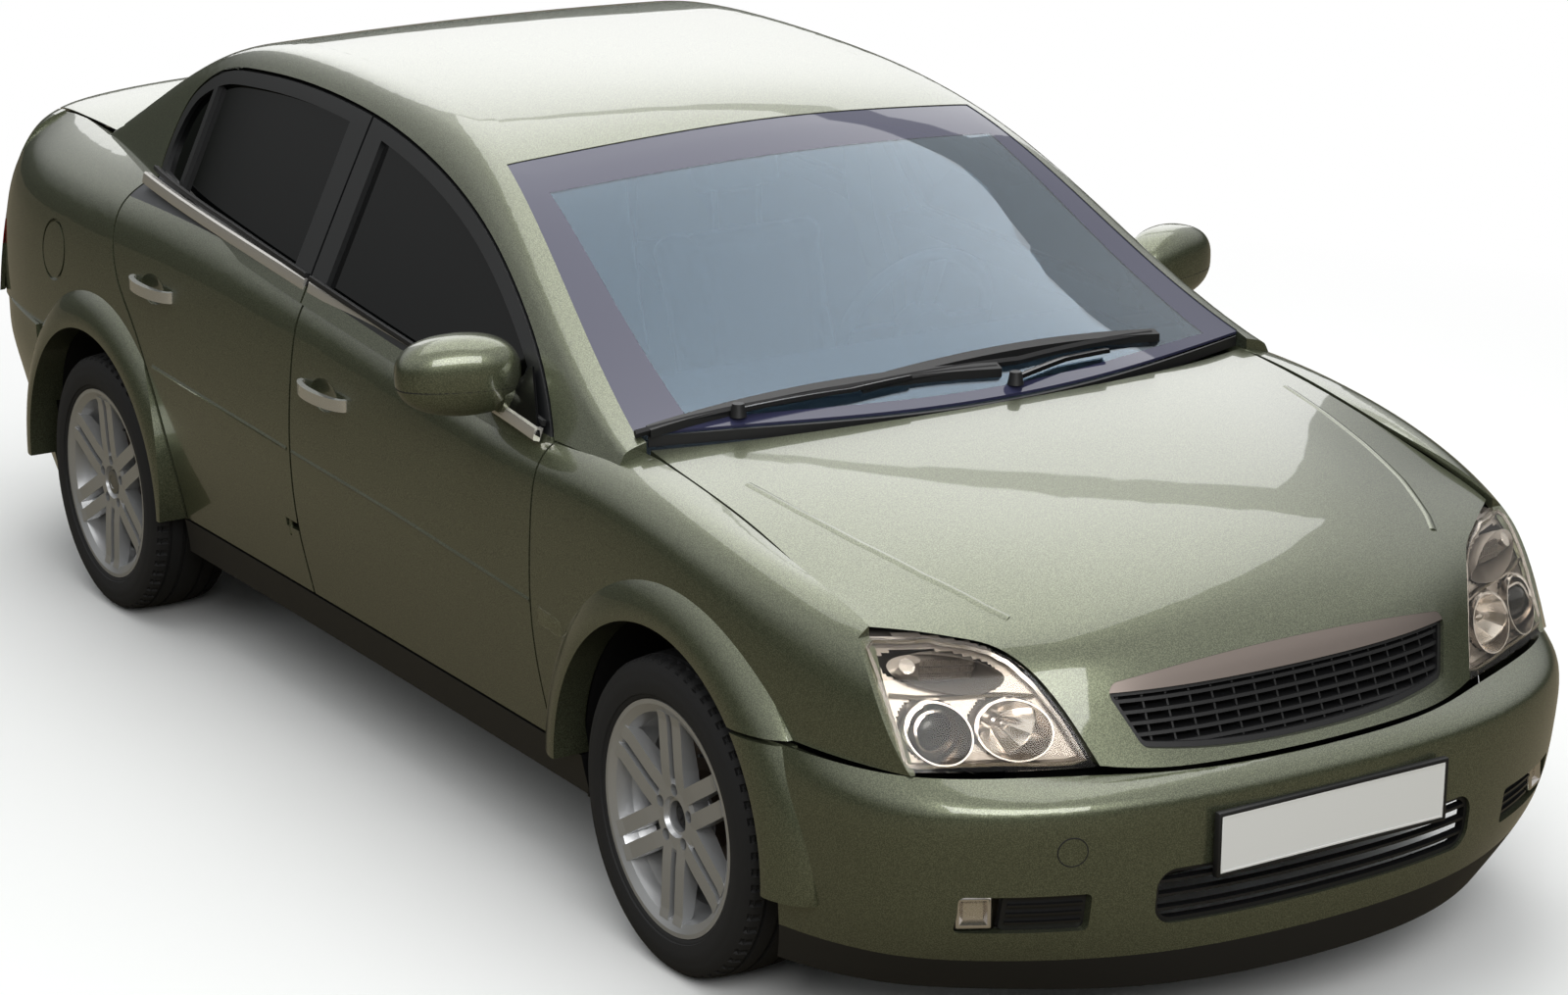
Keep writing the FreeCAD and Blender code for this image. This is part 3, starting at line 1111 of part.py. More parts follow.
# Front subframe with lower arms, rear axle with hubs
arm_height = 190.0
subframe = zone(205.0, 240.0, 105, 140, -470, 470)
arm = block(Vector(across(440), front_axle_y - 40.0, arm_height - 20.0), Vector(kingpin_foot.x + 10.0, front_axle_y + 40.0, arm_height - 5.0))
ball_joint = Part.makeCylinder(20.0, 42.0, kingpin_foot - kingpin * (42.0 + seat_gap), kingpin)
arm = arm.cut(Part.makeCylinder(strut_radius + disc_gap, 60.0, kingpin_foot - kingpin * seat_gap, kingpin)).fuse(ball_joint)
arm_link = zone(196.0, 240.0, 112, 138, 440, 500)
front_subframe = union([subframe, arm, flipped(arm), arm_link, flipped(arm_link)])
beam_radius = 34.0
rear_hub_plane = rear_track / 2 + rim_offset - hub_length - upright_thickness - 6 * seat_gap
rear_beam = Part.makeCylinder(beam_radius, 2 * rear_hub_plane, Vector(-rear_hub_plane, rear_axle_y, tyre_radius - 40.0), Vector(1, 0, 0))
rear_upright = block(Vector(rear_hub_plane - upright_thickness, rear_axle_y - 45.0, tyre_radius - 80.0),
                     Vector(rear_hub_plane + upright_thickness, rear_axle_y + 45.0, tyre_radius + 60.0))
rear_stub = Part.makeCylinder(stub_radius, hub_length * 1.4, Vector(rear_hub_plane, rear_axle_y, tyre_radius), Vector(1, 0, 0))
rear_arm = zone(700.0, 788.0, 168, 195, 560, 622)
rear_caliper = caliper_solid(disc_radius * 0.93, rear_track / 2 + rim_offset - disc_thickness * 2.0, rear_axle_y,
                             caliper_reach, rear_hub_plane)
rear_side = union([rear_upright, rear_stub, rear_arm, rear_caliper.cut(
    Part.makeCylinder(hub_radius * 0.75, hub_length * 3, Vector(rear_hub_plane + upright_thickness + seat_gap, rear_axle_y,
                                                               tyre_radius), Vector(1, 0, 0)))])
rear_axle = largest(union([rear_beam, rear_side, flipped(rear_side)]))

# Seats, dashboard and steering wheel
seat_fillet = 40.0


def pad(low, high, lean=0.0):
    solid = block(low, high)
    solid = solid.makeFillet(seat_fillet, solid.Edges)
    if lean:
        solid.rotate(Vector(0, low.y, low.z), Vector(1, 0, 0), lean)
    return solid


def front_seat(x):
    base = pad(Vector(x - 250.0, along(430.0), 300.0), Vector(x + 250.0, along(545.0), 470.0))
    back = pad(Vector(x - 245.0, along(528.0), 400.0), Vector(x + 245.0, along(560.0), 1020.0), -18.0)
    head = pad(Vector(x - 130.0, along(528.0), 1050.0), Vector(x + 130.0, along(551.0), 1220.0))
    head.translate(Vector(0, 205.0, -10.0))
    posts = [Part.makeCylinder(7.0, 200.0, Vector(x + side * 60.0, along(528.0) + 245.0, 900.0)) for side in (-1, 1)]
    rails = block(Vector(x - 200.0, along(440.0), up(floor_share) + floor_thickness), Vector(x + 200.0, along(530.0), 330.0))
    return union([base, back, head, rails] + posts)


seat_x = 370.0
bench_base = pad(Vector(-555.0, along(662.0), up(236) + seat_gap), Vector(555.0, along(752.0), 480.0))
bench_back = pad(Vector(-555.0, along(724.0), 430.0), Vector(555.0, along(752.0), 990.0), -14.0)
bench = union([bench_base, bench_back]).common(zone(600.0, 755.5, 100, 800))
seats = Part.Compound([front_seat(seat_x), front_seat(-seat_x), bench])
dash_profile = [(286.0, 590), (330.0, 640), (372.0, 648), (388.0, 615), (384.0, 540), (350.0, 420), (290.0, 420)]
dashboard = polygon([side_point(p) for p in dash_profile])
dash_half_width = 672.0
dashboard.translate(Vector(-dash_half_width, 0, 0))
dashboard = dashboard.extrude(Vector(2 * dash_half_width, 0, 0))
console = zone(345.0, 560.0, tunnel_share, 320, -110, 110)
stack = zone(345.0, 380.0, 315, 500, -110, 110)
column_tilt = 24.0
wheel_centre = Vector(seat_x, along(418.0), 905.0)
column_axis = Vector(0, math.cos(math.radians(column_tilt)), math.sin(math.radians(column_tilt)))
shroud = Part.makeCylinder(34.0, 240.0, wheel_centre - column_axis * 330.0, column_axis)
dashboard = union([dashboard, console, stack, shroud])
rim_ring = Part.makeTorus(183.0, 16.0)
boss = Part.makeCylinder(70.0, 40.0, Vector(0, 0, -45.0))
wheel_spokes = [block(Vector(-183.0, -22.0, -22.0), Vector(183.0, 22.0, -6.0)), block(Vector(-22.0, -183.0, -22.0), Vector(22.0, 0, -6.0))]
column = Part.makeCylinder(22.0, 60.0, Vector(0, 0, -89.7))
steering_wheel = union([rim_ring, boss, column] + wheel_spokes)
steering_wheel.rotate(Vector(0, 0, 0), Vector(1, 0, 0), -90.0 + column_tilt)
steering_wheel.translate(wheel_centre)

# Mirrors: a swept housing cut flat for the glass, on an arm at the front corner of the door window
mirror_length = 272.0
mirror_depth = 146.0
mirror_height = 158.0
mirror_sweep = 20.0
mirror_cut = 36.0
mirror_place_shares = (366.8, 1018, 705)
mirror_arm_height = 52.0
mirror_arm_shares = [(338.0, 835), (352.0, 835), (364.5, 925), (351.0, 940)]
mirror_arm_foot_share = 648
mirror_matrix = FreeCAD.Matrix()
mirror_matrix.scale(Vector(mirror_length / 2, mirror_depth / 2, mirror_height / 2))
mirror = Part.makeSphere(1).transformGeometry(mirror_matrix)
mirror = mirror.cut(block(Vector(-mirror_length, mirror_cut, -mirror_height),
                          Vector(mirror_length, mirror_length, mirror_height)))
mirror.rotate(Vector(0, 0, 0), Vector(0, 0, 1), mirror_sweep)
mirror.translate(place(mirror_place_shares))
mirror_arm = polygon([plan_point(p) for p in mirror_arm_shares])
mirror_arm.translate(Vector(0, 0, up(mirror_arm_foot_share)))
mirror_arm = mirror_arm.extrude(Vector(0, 0, mirror_arm_height))
mirror_left = largest(union([mirror, mirror_arm]).cut(front_door).cut(front_glass))

# Wipers and cowl
cowl_face = plan_loop([(s[0], s[1]) for s in reversed(bonnet_rear_shares)],
                      [(p[0], p[1]) for p in reversed(windscreen_foot_shares)])
cowl = roof_layer(4.0, 24.0).common(plan_prism(grown(cowl_face, -shut_gap))).common(zone(200.0, 300.0, 600, 800))
cowl = largest(cowl.cut(side_frame_left).cut(flipped(side_frame_left)))


def wiper(x_pivot, t_pivot, x_tip, t_tip):
    strip = polygon([plan_point(p) for p in ((t_pivot, x_pivot), (t_pivot + 4.0, x_pivot), (t_tip + 4.0, x_tip), (t_tip, x_tip))])
    blade = roof_layer(-14.0, screen_inset - seat_gap).common(plan_prism(strip)).common(zone(200.0, 400.0, 600, 900))
    return largest(blade.cut(side_frame_left).cut(flipped(side_frame_left)))


wipers = Part.Compound([wiper(-800.0, 263.5, 50.0, 244.0), wiper(-300.0, 250.0, 540.0, 257.0)])

# Exhaust
exhaust_height = 200.0
exhaust = union([
    Part.makeCylinder(26.0, along(900.0) - along(290.0), Vector(-50.0, along(290.0), exhaust_height), Vector(0, 1, 0)),
    zone(885.0, 940.0, 118, 178, -490, -20),
    Part.makeCylinder(24.0, along(974.0) - along(930.0), Vector(-430.0, along(930.0), exhaust_height), Vector(0, 1, 0))])

left_and_right = {
    "side_frame": (side_frame_left, None),
    "wing": (wing_left, None),
    "door_front": (front_door, None),
    "door_rear": (rear_door, None),
    "glass_front": (front_glass, None),
    "glass_rear": (rear_glass, None),
    "handle_front": (front_handle, None),
    "handle_rear": (rear_handle, None),
    "mirror": (mirror_left, None),
    "knuckle": (knuckle_left, None),
}
for name, (left, right) in left_and_right.items():
    pieces[name + "_left"] = left
    pieces[name + "_right"] = flipped(left) if right is None else right
tub_reach = Part.makeCylinder(fuel_flap_radius + 3 * shut_gap / 2, half_width, flap_axis, Vector(1, 0, 0))
tub_bore = Part.makeCylinder(fuel_flap_radius - 2 * shut_gap, half_width, flap_axis, Vector(1, 0, 0))
tub_lip = side_layer(door_flange / 2 + seat_gap, door_flange).common(tub_reach.cut(tub_bore))
tub_back = side_layer(1.4 * panel_depth, 1.6 * panel_depth).common(tub_reach)
pieces["side_frame_right"] = pieces["side_frame_right"].cut(flap_hole_right).fuse([flipped(tub_lip), flipped(tub_back)])
for name, track, y, brake in (("front", front_track, front_axle_y, front_brake), ("rear", rear_track, rear_axle_y, rear_brake)):
    for side, mirrored in (("left", False), ("right", True)):
        pieces["tyre_" + name + "_" + side] = at_wheel(tyre, track, y, mirrored)
        pieces["rim_" + name + "_" + side] = Part.Compound([at_wheel(rim, track, y, mirrored), at_wheel(brake, track, y, mirrored)])
pieces.update({
    "roof_panel": roof_panel, "windscreen": windscreen, "rear_window": rear_window, "fuel_flap": flipped(fuel_flap),
    "bonnet": bonnet, "grille_mesh": grille_mesh, "grille_bar": grille_bar, "boot_lid": boot_lid, "tail_lamps": tail_lamps,
    "headlamp_covers": Part.Compound([headlamp_cover, flipped(headlamp_cover)]),
    "headlamp_housings": Part.Compound([headlamp_bowl, flipped(headlamp_bowl)]),
    "front_bumper": front_bumper, "front_lip": front_lip, "bumper_grilles": bumper_grilles, "fog_lamps": fog_lamps,
    "rear_bumper": rear_bumper, "sill_trims": sill_trims, "underbody": underbody,
    "engine_block": union([engine] + engine_mounts), "front_subframe": front_subframe, "rear_axle": rear_axle,
    "seats": seats, "dashboard": dashboard, "steering_wheel": steering_wheel, "cowl_panel": cowl, "wipers": wipers,
    "exhaust": exhaust,
})
for name, shape in sorted(pieces.items()):
    closed = all(shell.isClosed() for shell in shape.Shells)
    print(name, len(shape.Solids), shape.isValid(), closed, round(shape.Volume / 1e6, 2))
    shape.exportStep("parts/" + name + ".step")
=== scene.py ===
import json
import math
import bmesh
import bpy
from mathutils import Matrix, Vector
from mathutils.bvhtree import BVHTree


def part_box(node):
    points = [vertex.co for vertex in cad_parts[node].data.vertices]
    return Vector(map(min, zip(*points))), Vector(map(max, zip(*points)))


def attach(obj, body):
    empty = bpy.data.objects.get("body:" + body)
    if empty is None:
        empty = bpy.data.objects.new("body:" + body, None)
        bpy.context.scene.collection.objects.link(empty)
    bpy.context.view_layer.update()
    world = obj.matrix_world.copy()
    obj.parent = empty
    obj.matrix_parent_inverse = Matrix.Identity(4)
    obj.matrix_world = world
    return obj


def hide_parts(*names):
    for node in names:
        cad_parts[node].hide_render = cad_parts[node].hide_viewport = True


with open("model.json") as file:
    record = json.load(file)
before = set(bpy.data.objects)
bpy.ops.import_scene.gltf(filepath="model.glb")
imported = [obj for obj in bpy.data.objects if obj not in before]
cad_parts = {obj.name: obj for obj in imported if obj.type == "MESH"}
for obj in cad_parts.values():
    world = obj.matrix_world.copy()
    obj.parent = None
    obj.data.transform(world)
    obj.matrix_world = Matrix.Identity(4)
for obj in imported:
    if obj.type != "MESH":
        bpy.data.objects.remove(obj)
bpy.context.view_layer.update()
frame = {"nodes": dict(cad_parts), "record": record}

nodes = frame["nodes"]
print("frame loaded:", len(nodes), "nodes")


# colours are written as sRGB hex and turned to linear here
def toLinear(hexColour, alpha=1.0):
    channels = [int(hexColour[i:i + 2], 16) / 255 for i in (1, 3, 5)]
    return tuple(c / 12.92 if c <= 0.04045 else ((c + 0.055) / 1.055) ** 2.4 for c in channels) + (alpha,)


# adds one node: settings are plain attributes, inputs are values or sockets to link from
def addNode(tree, kind, inputs=None, **settings):
    node = tree.nodes.new("ShaderNode" + kind)
    for name, value in settings.items():
        setattr(node, name, value)
    for name, value in (inputs or {}).items():
        if isinstance(value, bpy.types.NodeSocket):
            tree.links.new(value, node.inputs[name])
        else:
            node.inputs[name].default_value = value
    return node


def startMaterial(name):
    material = bpy.data.materials.new(name)
    material.use_nodes = True
    tree = material.node_tree
    tree.nodes.clear()
    output = addNode(tree, "OutputMaterial")
    return material, tree, output


def finishShader(tree, output, inputs):
    shader = addNode(tree, "BsdfPrincipled", inputs)
    tree.links.new(shader.outputs["BSDF"], output.inputs["Surface"])


# place on the object, whole and split into its three axes
def objectAxes(tree):
    place = addNode(tree, "TexCoord").outputs["Object"]
    split = addNode(tree, "SeparateXYZ", {"Vector": place})
    return place, split.outputs["X"], split.outputs["Y"], split.outputs["Z"]


def linkObject(name, data):
    thing = bpy.data.objects.new(name, data)
    bpy.context.scene.collection.objects.link(thing)
    return thing


paintSettings = {"colour": "#505441", "flake": "#72775F", "metallic": 0.72, "roughness": 0.34, "flakeSizeMm": 2.0}
trimSettings = {"colour": "#141516", "roughness": 0.38}


def paintInputs(tree, place):
    flakes = addNode(tree, "TexNoise", {"Vector": place, "Scale": 1000 / paintSettings["flakeSizeMm"], "Detail": 1.0})
    # real flakes are about 0.05 mm: drawn 2 mm so that they show at all
    spread = addNode(tree, "MapRange", {"Value": flakes.outputs["Fac"], "From Min": 0.42, "From Max": 0.62})
    colour = addNode(tree, "MixRGB", {"Fac": spread.outputs["Result"], "Color1": toLinear(paintSettings["colour"]),
                                      "Color2": toLinear(paintSettings["flake"])})
    return {"Base Color": colour.outputs["Color"], "Metallic": paintSettings["metallic"],
            "Roughness": paintSettings["roughness"], "Coat Weight": 1.0, "Coat Roughness": 0.03, "Coat IOR": 1.5}


def metallicPaint():
    # metallic basecoat under clear lacquer: soft wide highlight from the flakes, sharp one from the lacquer
    material, tree, output = startMaterial("metallicPaint")
    finishShader(tree, output, paintInputs(tree, addNode(tree, "TexCoord").outputs["Object"]))
    return material


# belt line: its height at the middle of the car and its rise towards the back
beltSettings = {"height": 0.9874, "slope": 0.0736, "trimAbove": 0.012, "liningInside": 0.79}


def doorPaint():
    # lacquered skin below the belt line, black foil on the window frame, grey moulded lining inside
    material, tree, output = startMaterial("doorPaint")
    place, x, y, z = objectAxes(tree)
    painted = addNode(tree, "BsdfPrincipled", paintInputs(tree, place))
    frameFoil = addNode(tree, "BsdfPrincipled", {"Base Color": toLinear(trimSettings["colour"]),
                                                 "Roughness": trimSettings["roughness"]})
    lining = addNode(tree, "BsdfPrincipled", {"Base Color": toLinear("#4A4B4D"), "Roughness": 0.75})
    foot = beltSettings["height"] + beltSettings["trimAbove"]
    belt = addNode(tree, "Math", {0: y, 1: -beltSettings["slope"], 2: -foot}, operation="MULTIPLY_ADD")
    over = addNode(tree, "Math", {0: z, 1: belt.outputs["Value"]}, operation="ADD")
    above = addNode(tree, "Math", {0: over.outputs["Value"], 1: 0.0}, operation="GREATER_THAN")
    sideways = addNode(tree, "Math", {0: x}, operation="ABSOLUTE")
    inside = addNode(tree, "Math", {0: sideways.outputs["Value"], 1: beltSettings["liningInside"]},
                     operation="LESS_THAN")
    lower = addNode(tree, "MixShader", {"Fac": inside.outputs["Value"], 1: painted.outputs["BSDF"],
                                        2: lining.outputs["BSDF"]})
    whole = addNode(tree, "MixShader", {"Fac": above.outputs["Value"], 1: lower.outputs["Shader"],
                                        2: frameFoil.outputs["BSDF"]})
    tree.links.new(whole.outputs["Shader"], output.inputs["Surface"])
    return material


def plainMaterial(name, colour, roughness, metallic=0.0, grainMm=0.0, bump=0.0, **more):
    material, tree, output = startMaterial(name)
    inputs = {"Base Color": toLinear(colour), "Roughness": roughness, "Metallic": metallic}
    inputs.update(more)
    if grainMm:
        place = addNode(tree, "TexCoord")
        grain = addNode(tree, "TexNoise", {"Vector": place.outputs["Object"], "Scale": 1000 / grainMm, "Detail": 3.0})
        relief = addNode(tree, "Bump", {"Height": grain.outputs["Fac"], "Strength": bump, "Distance": grainMm / 4000})
        inputs["Normal"] = relief.outputs["Normal"]
    finishShader(tree, output, inputs)
    return material


# windscreen print: the head and foot lines bow with the square of x, the side lines run between two places
screenSettings = {"headY": -0.333, "headBow": 0.188, "band": 0.125, "footY": -1.243, "footBow": 0.30,
                  "footBorder": 0.045, "edgeFoot": 0.655, "edgeHead": 0.565, "edgeBorder": 0.026,
                  "edgeFrom": -1.09, "edgeTo": -0.27}


def windscreenGlass():
    # laminated glass, clear and slightly blue, with a printed black border and a violet sun band at the head
    material, tree, output = startMaterial("laminatedGlass")
    place, x, y, z = objectAxes(tree)
    screen = screenSettings
    clear = addNode(tree, "BsdfPrincipled", {"Base Color": toLinear("#B9D2E4"), "Roughness": 0.0, "IOR": 1.6,
                                             "Specular Tint": toLinear("#CFE4F6"), "Transmission Weight": 1.0})
    band = addNode(tree, "BsdfPrincipled", {"Base Color": toLinear("#33344C"), "Roughness": 0.03, "IOR": 1.5})
    square = addNode(tree, "Math", {0: x, 1: x}, operation="MULTIPLY")
    head = addNode(tree, "Math", {0: square.outputs["Value"], 1: screen["headBow"],
                                  2: screen["headY"] - screen["band"]}, operation="MULTIPLY_ADD")
    inBand = addNode(tree, "Math", {0: y, 1: head.outputs["Value"]}, operation="GREATER_THAN")
    foot = addNode(tree, "Math", {0: square.outputs["Value"], 1: screen["footBow"],
                                  2: screen["footY"] + screen["footBorder"]}, operation="MULTIPLY_ADD")
    inFoot = addNode(tree, "Math", {0: y, 1: foot.outputs["Value"]}, operation="LESS_THAN")
    edge = addNode(tree, "MapRange", {"Value": y, "From Min": screen["edgeFrom"], "From Max": screen["edgeTo"],
                                      "To Min": screen["edgeFoot"] - screen["edgeBorder"],
                                      "To Max": screen["edgeHead"] - screen["edgeBorder"]})
    sideways = addNode(tree, "Math", {0: x}, operation="ABSOLUTE")
    inEdge = addNode(tree, "Math", {0: sideways.outputs["Value"], 1: edge.outputs["Result"]},
                     operation="GREATER_THAN")
    some = addNode(tree, "Math", {0: inBand.outputs["Value"], 1: inFoot.outputs["Value"]}, operation="MAXIMUM")
    printed = addNode(tree, "Math", {0: some.outputs["Value"], 1: inEdge.outputs["Value"]}, operation="MAXIMUM")
    mix = addNode(tree, "MixShader", {"Fac": printed.outputs["Value"], 1: clear.outputs["BSDF"],
                                      2: band.outputs["BSDF"]})
    tree.links.new(mix.outputs["Shader"], output.inputs["Surface"])
    return material


# brake discs lie in the rims' nodes: where they are, measured along and up from the wheel centres
discSettings = {"inside": 0.8027, "midway": -0.026, "halfBase": 1.35, "height": 0.317, "radius": 0.165}


def wheelAlloy():
    # silver painted alloy, and bare grey iron where the brake disc sits behind it
    material, tree, output = startMaterial("paintedAlloy")
    place, x, y, z = objectAxes(tree)
    alloyShader = addNode(tree, "BsdfPrincipled", {"Base Color": toLinear("#B4B5B6"), "Metallic": 0.6,
                                                   "Roughness": 0.34, "Coat Weight": 0.4})
    wear = addNode(tree, "TexNoise", {"Vector": place, "Scale": 180.0, "Detail": 3.0})
    iron = addNode(tree, "MixRGB", {"Fac": wear.outputs["Fac"], "Color1": toLinear("#4B4642"),
                                    "Color2": toLinear("#6A5A4C")})
    ironShader = addNode(tree, "BsdfPrincipled", {"Base Color": iron.outputs["Color"], "Metallic": 0.8,
                                                  "Roughness": 0.5})
    sideways = addNode(tree, "Math", {0: x}, operation="ABSOLUTE")
    inner = addNode(tree, "Math", {0: sideways.outputs["Value"], 1: discSettings["inside"]}, operation="LESS_THAN")
    far = addNode(tree, "Math", {0: y, 1: discSettings["midway"]}, operation="SUBTRACT")
    farther = addNode(tree, "Math", {0: far.outputs["Value"]}, operation="ABSOLUTE")
    along = addNode(tree, "Math", {0: farther.outputs["Value"], 1: discSettings["halfBase"]}, operation="SUBTRACT")
    low = addNode(tree, "Math", {0: z, 1: discSettings["height"]}, operation="SUBTRACT")
    spot = addNode(tree, "CombineXYZ", {"X": along.outputs["Value"], "Y": low.outputs["Value"]})
    reach = addNode(tree, "VectorMath", {0: spot.outputs["Vector"]}, operation="LENGTH")
    near = addNode(tree, "Math", {0: reach.outputs["Value"], 1: discSettings["radius"]}, operation="LESS_THAN")
    both = addNode(tree, "Math", {0: inner.outputs["Value"], 1: near.outputs["Value"]}, operation="MULTIPLY")
    mix = addNode(tree, "MixShader", {"Fac": both.outputs["Value"], 1: alloyShader.outputs["BSDF"],
                                      2: ironShader.outputs["BSDF"]})
    tree.links.new(mix.outputs["Shader"], output.inputs["Surface"])
    return material


# height of the clear window in the tail lamps, from and to
tailSettings = {"windowFoot": 0.835, "windowHead": 0.885}


def tailLampAcrylic():
    # moulded acrylic lens, red, with one clear window for the reversing and turn lamps
    material, tree, output = startMaterial("tailLampAcrylic")
    place, x, y, z = objectAxes(tree)
    high = addNode(tree, "Math", {0: z, 1: tailSettings["windowFoot"]}, operation="GREATER_THAN")
    low = addNode(tree, "Math", {0: z, 1: tailSettings["windowHead"]}, operation="LESS_THAN")
    window = addNode(tree, "Math", {0: high.outputs["Value"], 1: low.outputs["Value"]}, operation="MULTIPLY")
    colour = addNode(tree, "MixRGB", {"Fac": window.outputs["Value"], "Color1": toLinear("#8E0B10"),
                                      "Color2": toLinear("#E9DCD6")})
    ribs = addNode(tree, "TexWave", {"Vector": place, "Scale": 60.0}, bands_direction="X")
    relief = addNode(tree, "Bump", {"Height": ribs.outputs["Fac"], "Strength": 0.25, "Distance": 0.001})
    finishShader(tree, output, {"Base Color": colour.outputs["Color"], "Roughness": 0.1, "Coat Weight": 0.6,
                                "Transmission Weight": 0.25, "Normal": relief.outputs["Normal"]})
    return material


def wovenCloth():
    # woven seat cloth: fine crossed threads that catch little light
    material, tree, output = startMaterial("wovenSeatCloth")
    place = addNode(tree, "TexCoord")
    warp = addNode(tree, "TexWave", {"Vector": place.outputs["Object"], "Scale": 160.0}, bands_direction="X")
    weft = addNode(tree, "TexWave", {"Vector": place.outputs["Object"], "Scale": 160.0}, bands_direction="Z")
    # real threads are about 0.7 mm apart: drawn 2 mm so that they show
    threads = addNode(tree, "Math", {0: warp.outputs["Fac"], 1: weft.outputs["Fac"]}, operation="MULTIPLY")
    colour = addNode(tree, "MixRGB", {"Fac": threads.outputs["Value"], "Color1": toLinear("#232427"),
                                      "Color2": toLinear("#3E4045")})
    relief = addNode(tree, "Bump", {"Height": threads.outputs["Value"], "Strength": 0.4, "Distance": 0.0008})
    finishShader(tree, output, {"Base Color": colour.outputs["Color"], "Roughness": 0.9, "Sheen Weight": 0.35,
                                "Normal": relief.outputs["Normal"]})
    return material


paint = metallicPaint()
paintedDoor = doorPaint()
blackPlastic = plainMaterial("grainedPolypropylene", "#101011", 0.5, 0.0, 1.5, 0.5)
glossBlack = plainMaterial("glossBlackPlastic", "#0B0B0C", 0.18)
softPlastic = plainMaterial("softTouchPlastic", "#2E2F31", 0.7, 0.0, 1.2, 0.6)
# tinted glass made almost black and opaque: its own tint, and painted shade standing in for the dark cabin behind it
tintedGlassPaintedShade = plainMaterial("tintedGlassPaintedShade", "#050606", 0.02, **{"Transmission Weight": 0.15,
                                                               "Specular IOR Level": 0.2})
screenGlass = windscreenGlass()
# a thin clear cover hardly bends the view through it, and only its hard coat shines
clearLens = plainMaterial("polycarbonateLens", "#FBF9F4", 0.02, **{"Transmission Weight": 1.0, "IOR": 1.02,
                                                                   "Coat Weight": 0.5, "Coat IOR": 1.3})
redLens = tailLampAcrylic()
chrome = plainMaterial("chromePlate", "#E2E2E1", 0.14, 0.85)
brightBar = plainMaterial("satinChromePlate", "#B9B2AC", 0.24, 1.0)
mirrorGlass = plainMaterial("silveredGlass", "#E8EAEC", 0.02, 1.0)
aluminised = plainMaterial("aluminisedPlastic", "#D8D2CC", 0.14, 0.95)
paleBezel = plainMaterial("lampBezelPlastic", "#9F968E", 0.26, 0.55)
ribbedReflector = plainMaterial("ribbedReflector", "#8E867F", 0.34, 0.6)
satinBar = plainMaterial("satinGrilleBar", "#8B8079", 0.3, 0.8)
# bright metal strip, part matt: its pale colour is a painted reflection, standing in for the bright sky that the strip
# mirrors
reflectionPaintedTrim = plainMaterial("brightMetalPaintedReflection", "#D2CFCA", 0.24, 0.6)
rimAlloy = wheelAlloy()
zincSteel = plainMaterial("zincPlatedSteel", "#8E8E8C", 0.35, 0.9)
rubber = plainMaterial("tyreRubber", "#131314", 0.78, 0.0, 3.0, 0.5)
sealRubber = plainMaterial("sealRubber", "#0E0E0F", 0.7)
castIron = plainMaterial("castIron", "#3B3B3C", 0.7, 0.6, 2.5, 0.6)
blackSteel = plainMaterial("blackChassisPaint", "#1A1A1A", 0.5, 0.2, 2.5, 0.3)
plateEnamel = plainMaterial("reflectivePlateSheet", "#E9EAE8", 0.35, **{"Coat Weight": 0.3})
cloth = wovenCloth()
slotMaterials = {"paint": paint, "black_plastic": blackPlastic, "tinted_glass": tintedGlassPaintedShade,
                 "screen_glass": screenGlass, "clear_lens": clearLens, "red_lens": redLens, "chrome": chrome,
                 "alloy": rimAlloy, "tyre": rubber, "cast_iron": castIron, "steel": blackSteel, "cloth": cloth}
ownMaterials = {"door_front_left": paintedDoor, "door_front_right": paintedDoor, "door_rear_left": paintedDoor,
                "door_rear_right": paintedDoor, "grille_bar": satinBar, "headlamp_housings": paleBezel,
                "dashboard": softPlastic, "steering_wheel": softPlastic}


def dressNodes():
    for part in frame["record"]["subparts"]:
        mesh = nodes[part["node"]].data
        mesh.materials.clear()
        mesh.materials.append(ownMaterials.get(part["node"], slotMaterials[part["material_slot"]]))


dressNodes()
print("materials set")


# makes one object from a function that fills a bmesh, repeated at each place
def makePiece(name, material, body, build, places=(Matrix(),), sharpAngle=35):
    whole = bmesh.new()
    for place in places:
        single = bmesh.new()
        build(single)
        bmesh.ops.remove_doubles(single, verts=single.verts, dist=0.00001)
        bmesh.ops.transform(single, matrix=place, verts=single.verts)
        bmesh.ops.recalc_face_normals(single, faces=single.faces)
        step = bpy.data.meshes.new(name + "Step")
        single.to_mesh(step)
        single.free()
        whole.from_mesh(step)
        bpy.data.meshes.remove(step)
    mesh = bpy.data.meshes.new(name)
    whole.to_mesh(mesh)
    whole.free()
    mesh.shade_smooth()
    mesh.set_sharp_from_angle(angle=math.radians(sharpAngle))
    mesh.materials.append(material)
    piece = linkObject(name, mesh)
    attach(piece, body)
    return piece


def partsOf(result, kind):
    return [item for item in result["geom"] if isinstance(item, kind)]


# loop of edges through verts in their order
def closeLoop(shape, verts):
    return [shape.edges.new((vert, verts[(k + 1) % len(verts)])) for k, vert in enumerate(verts)]


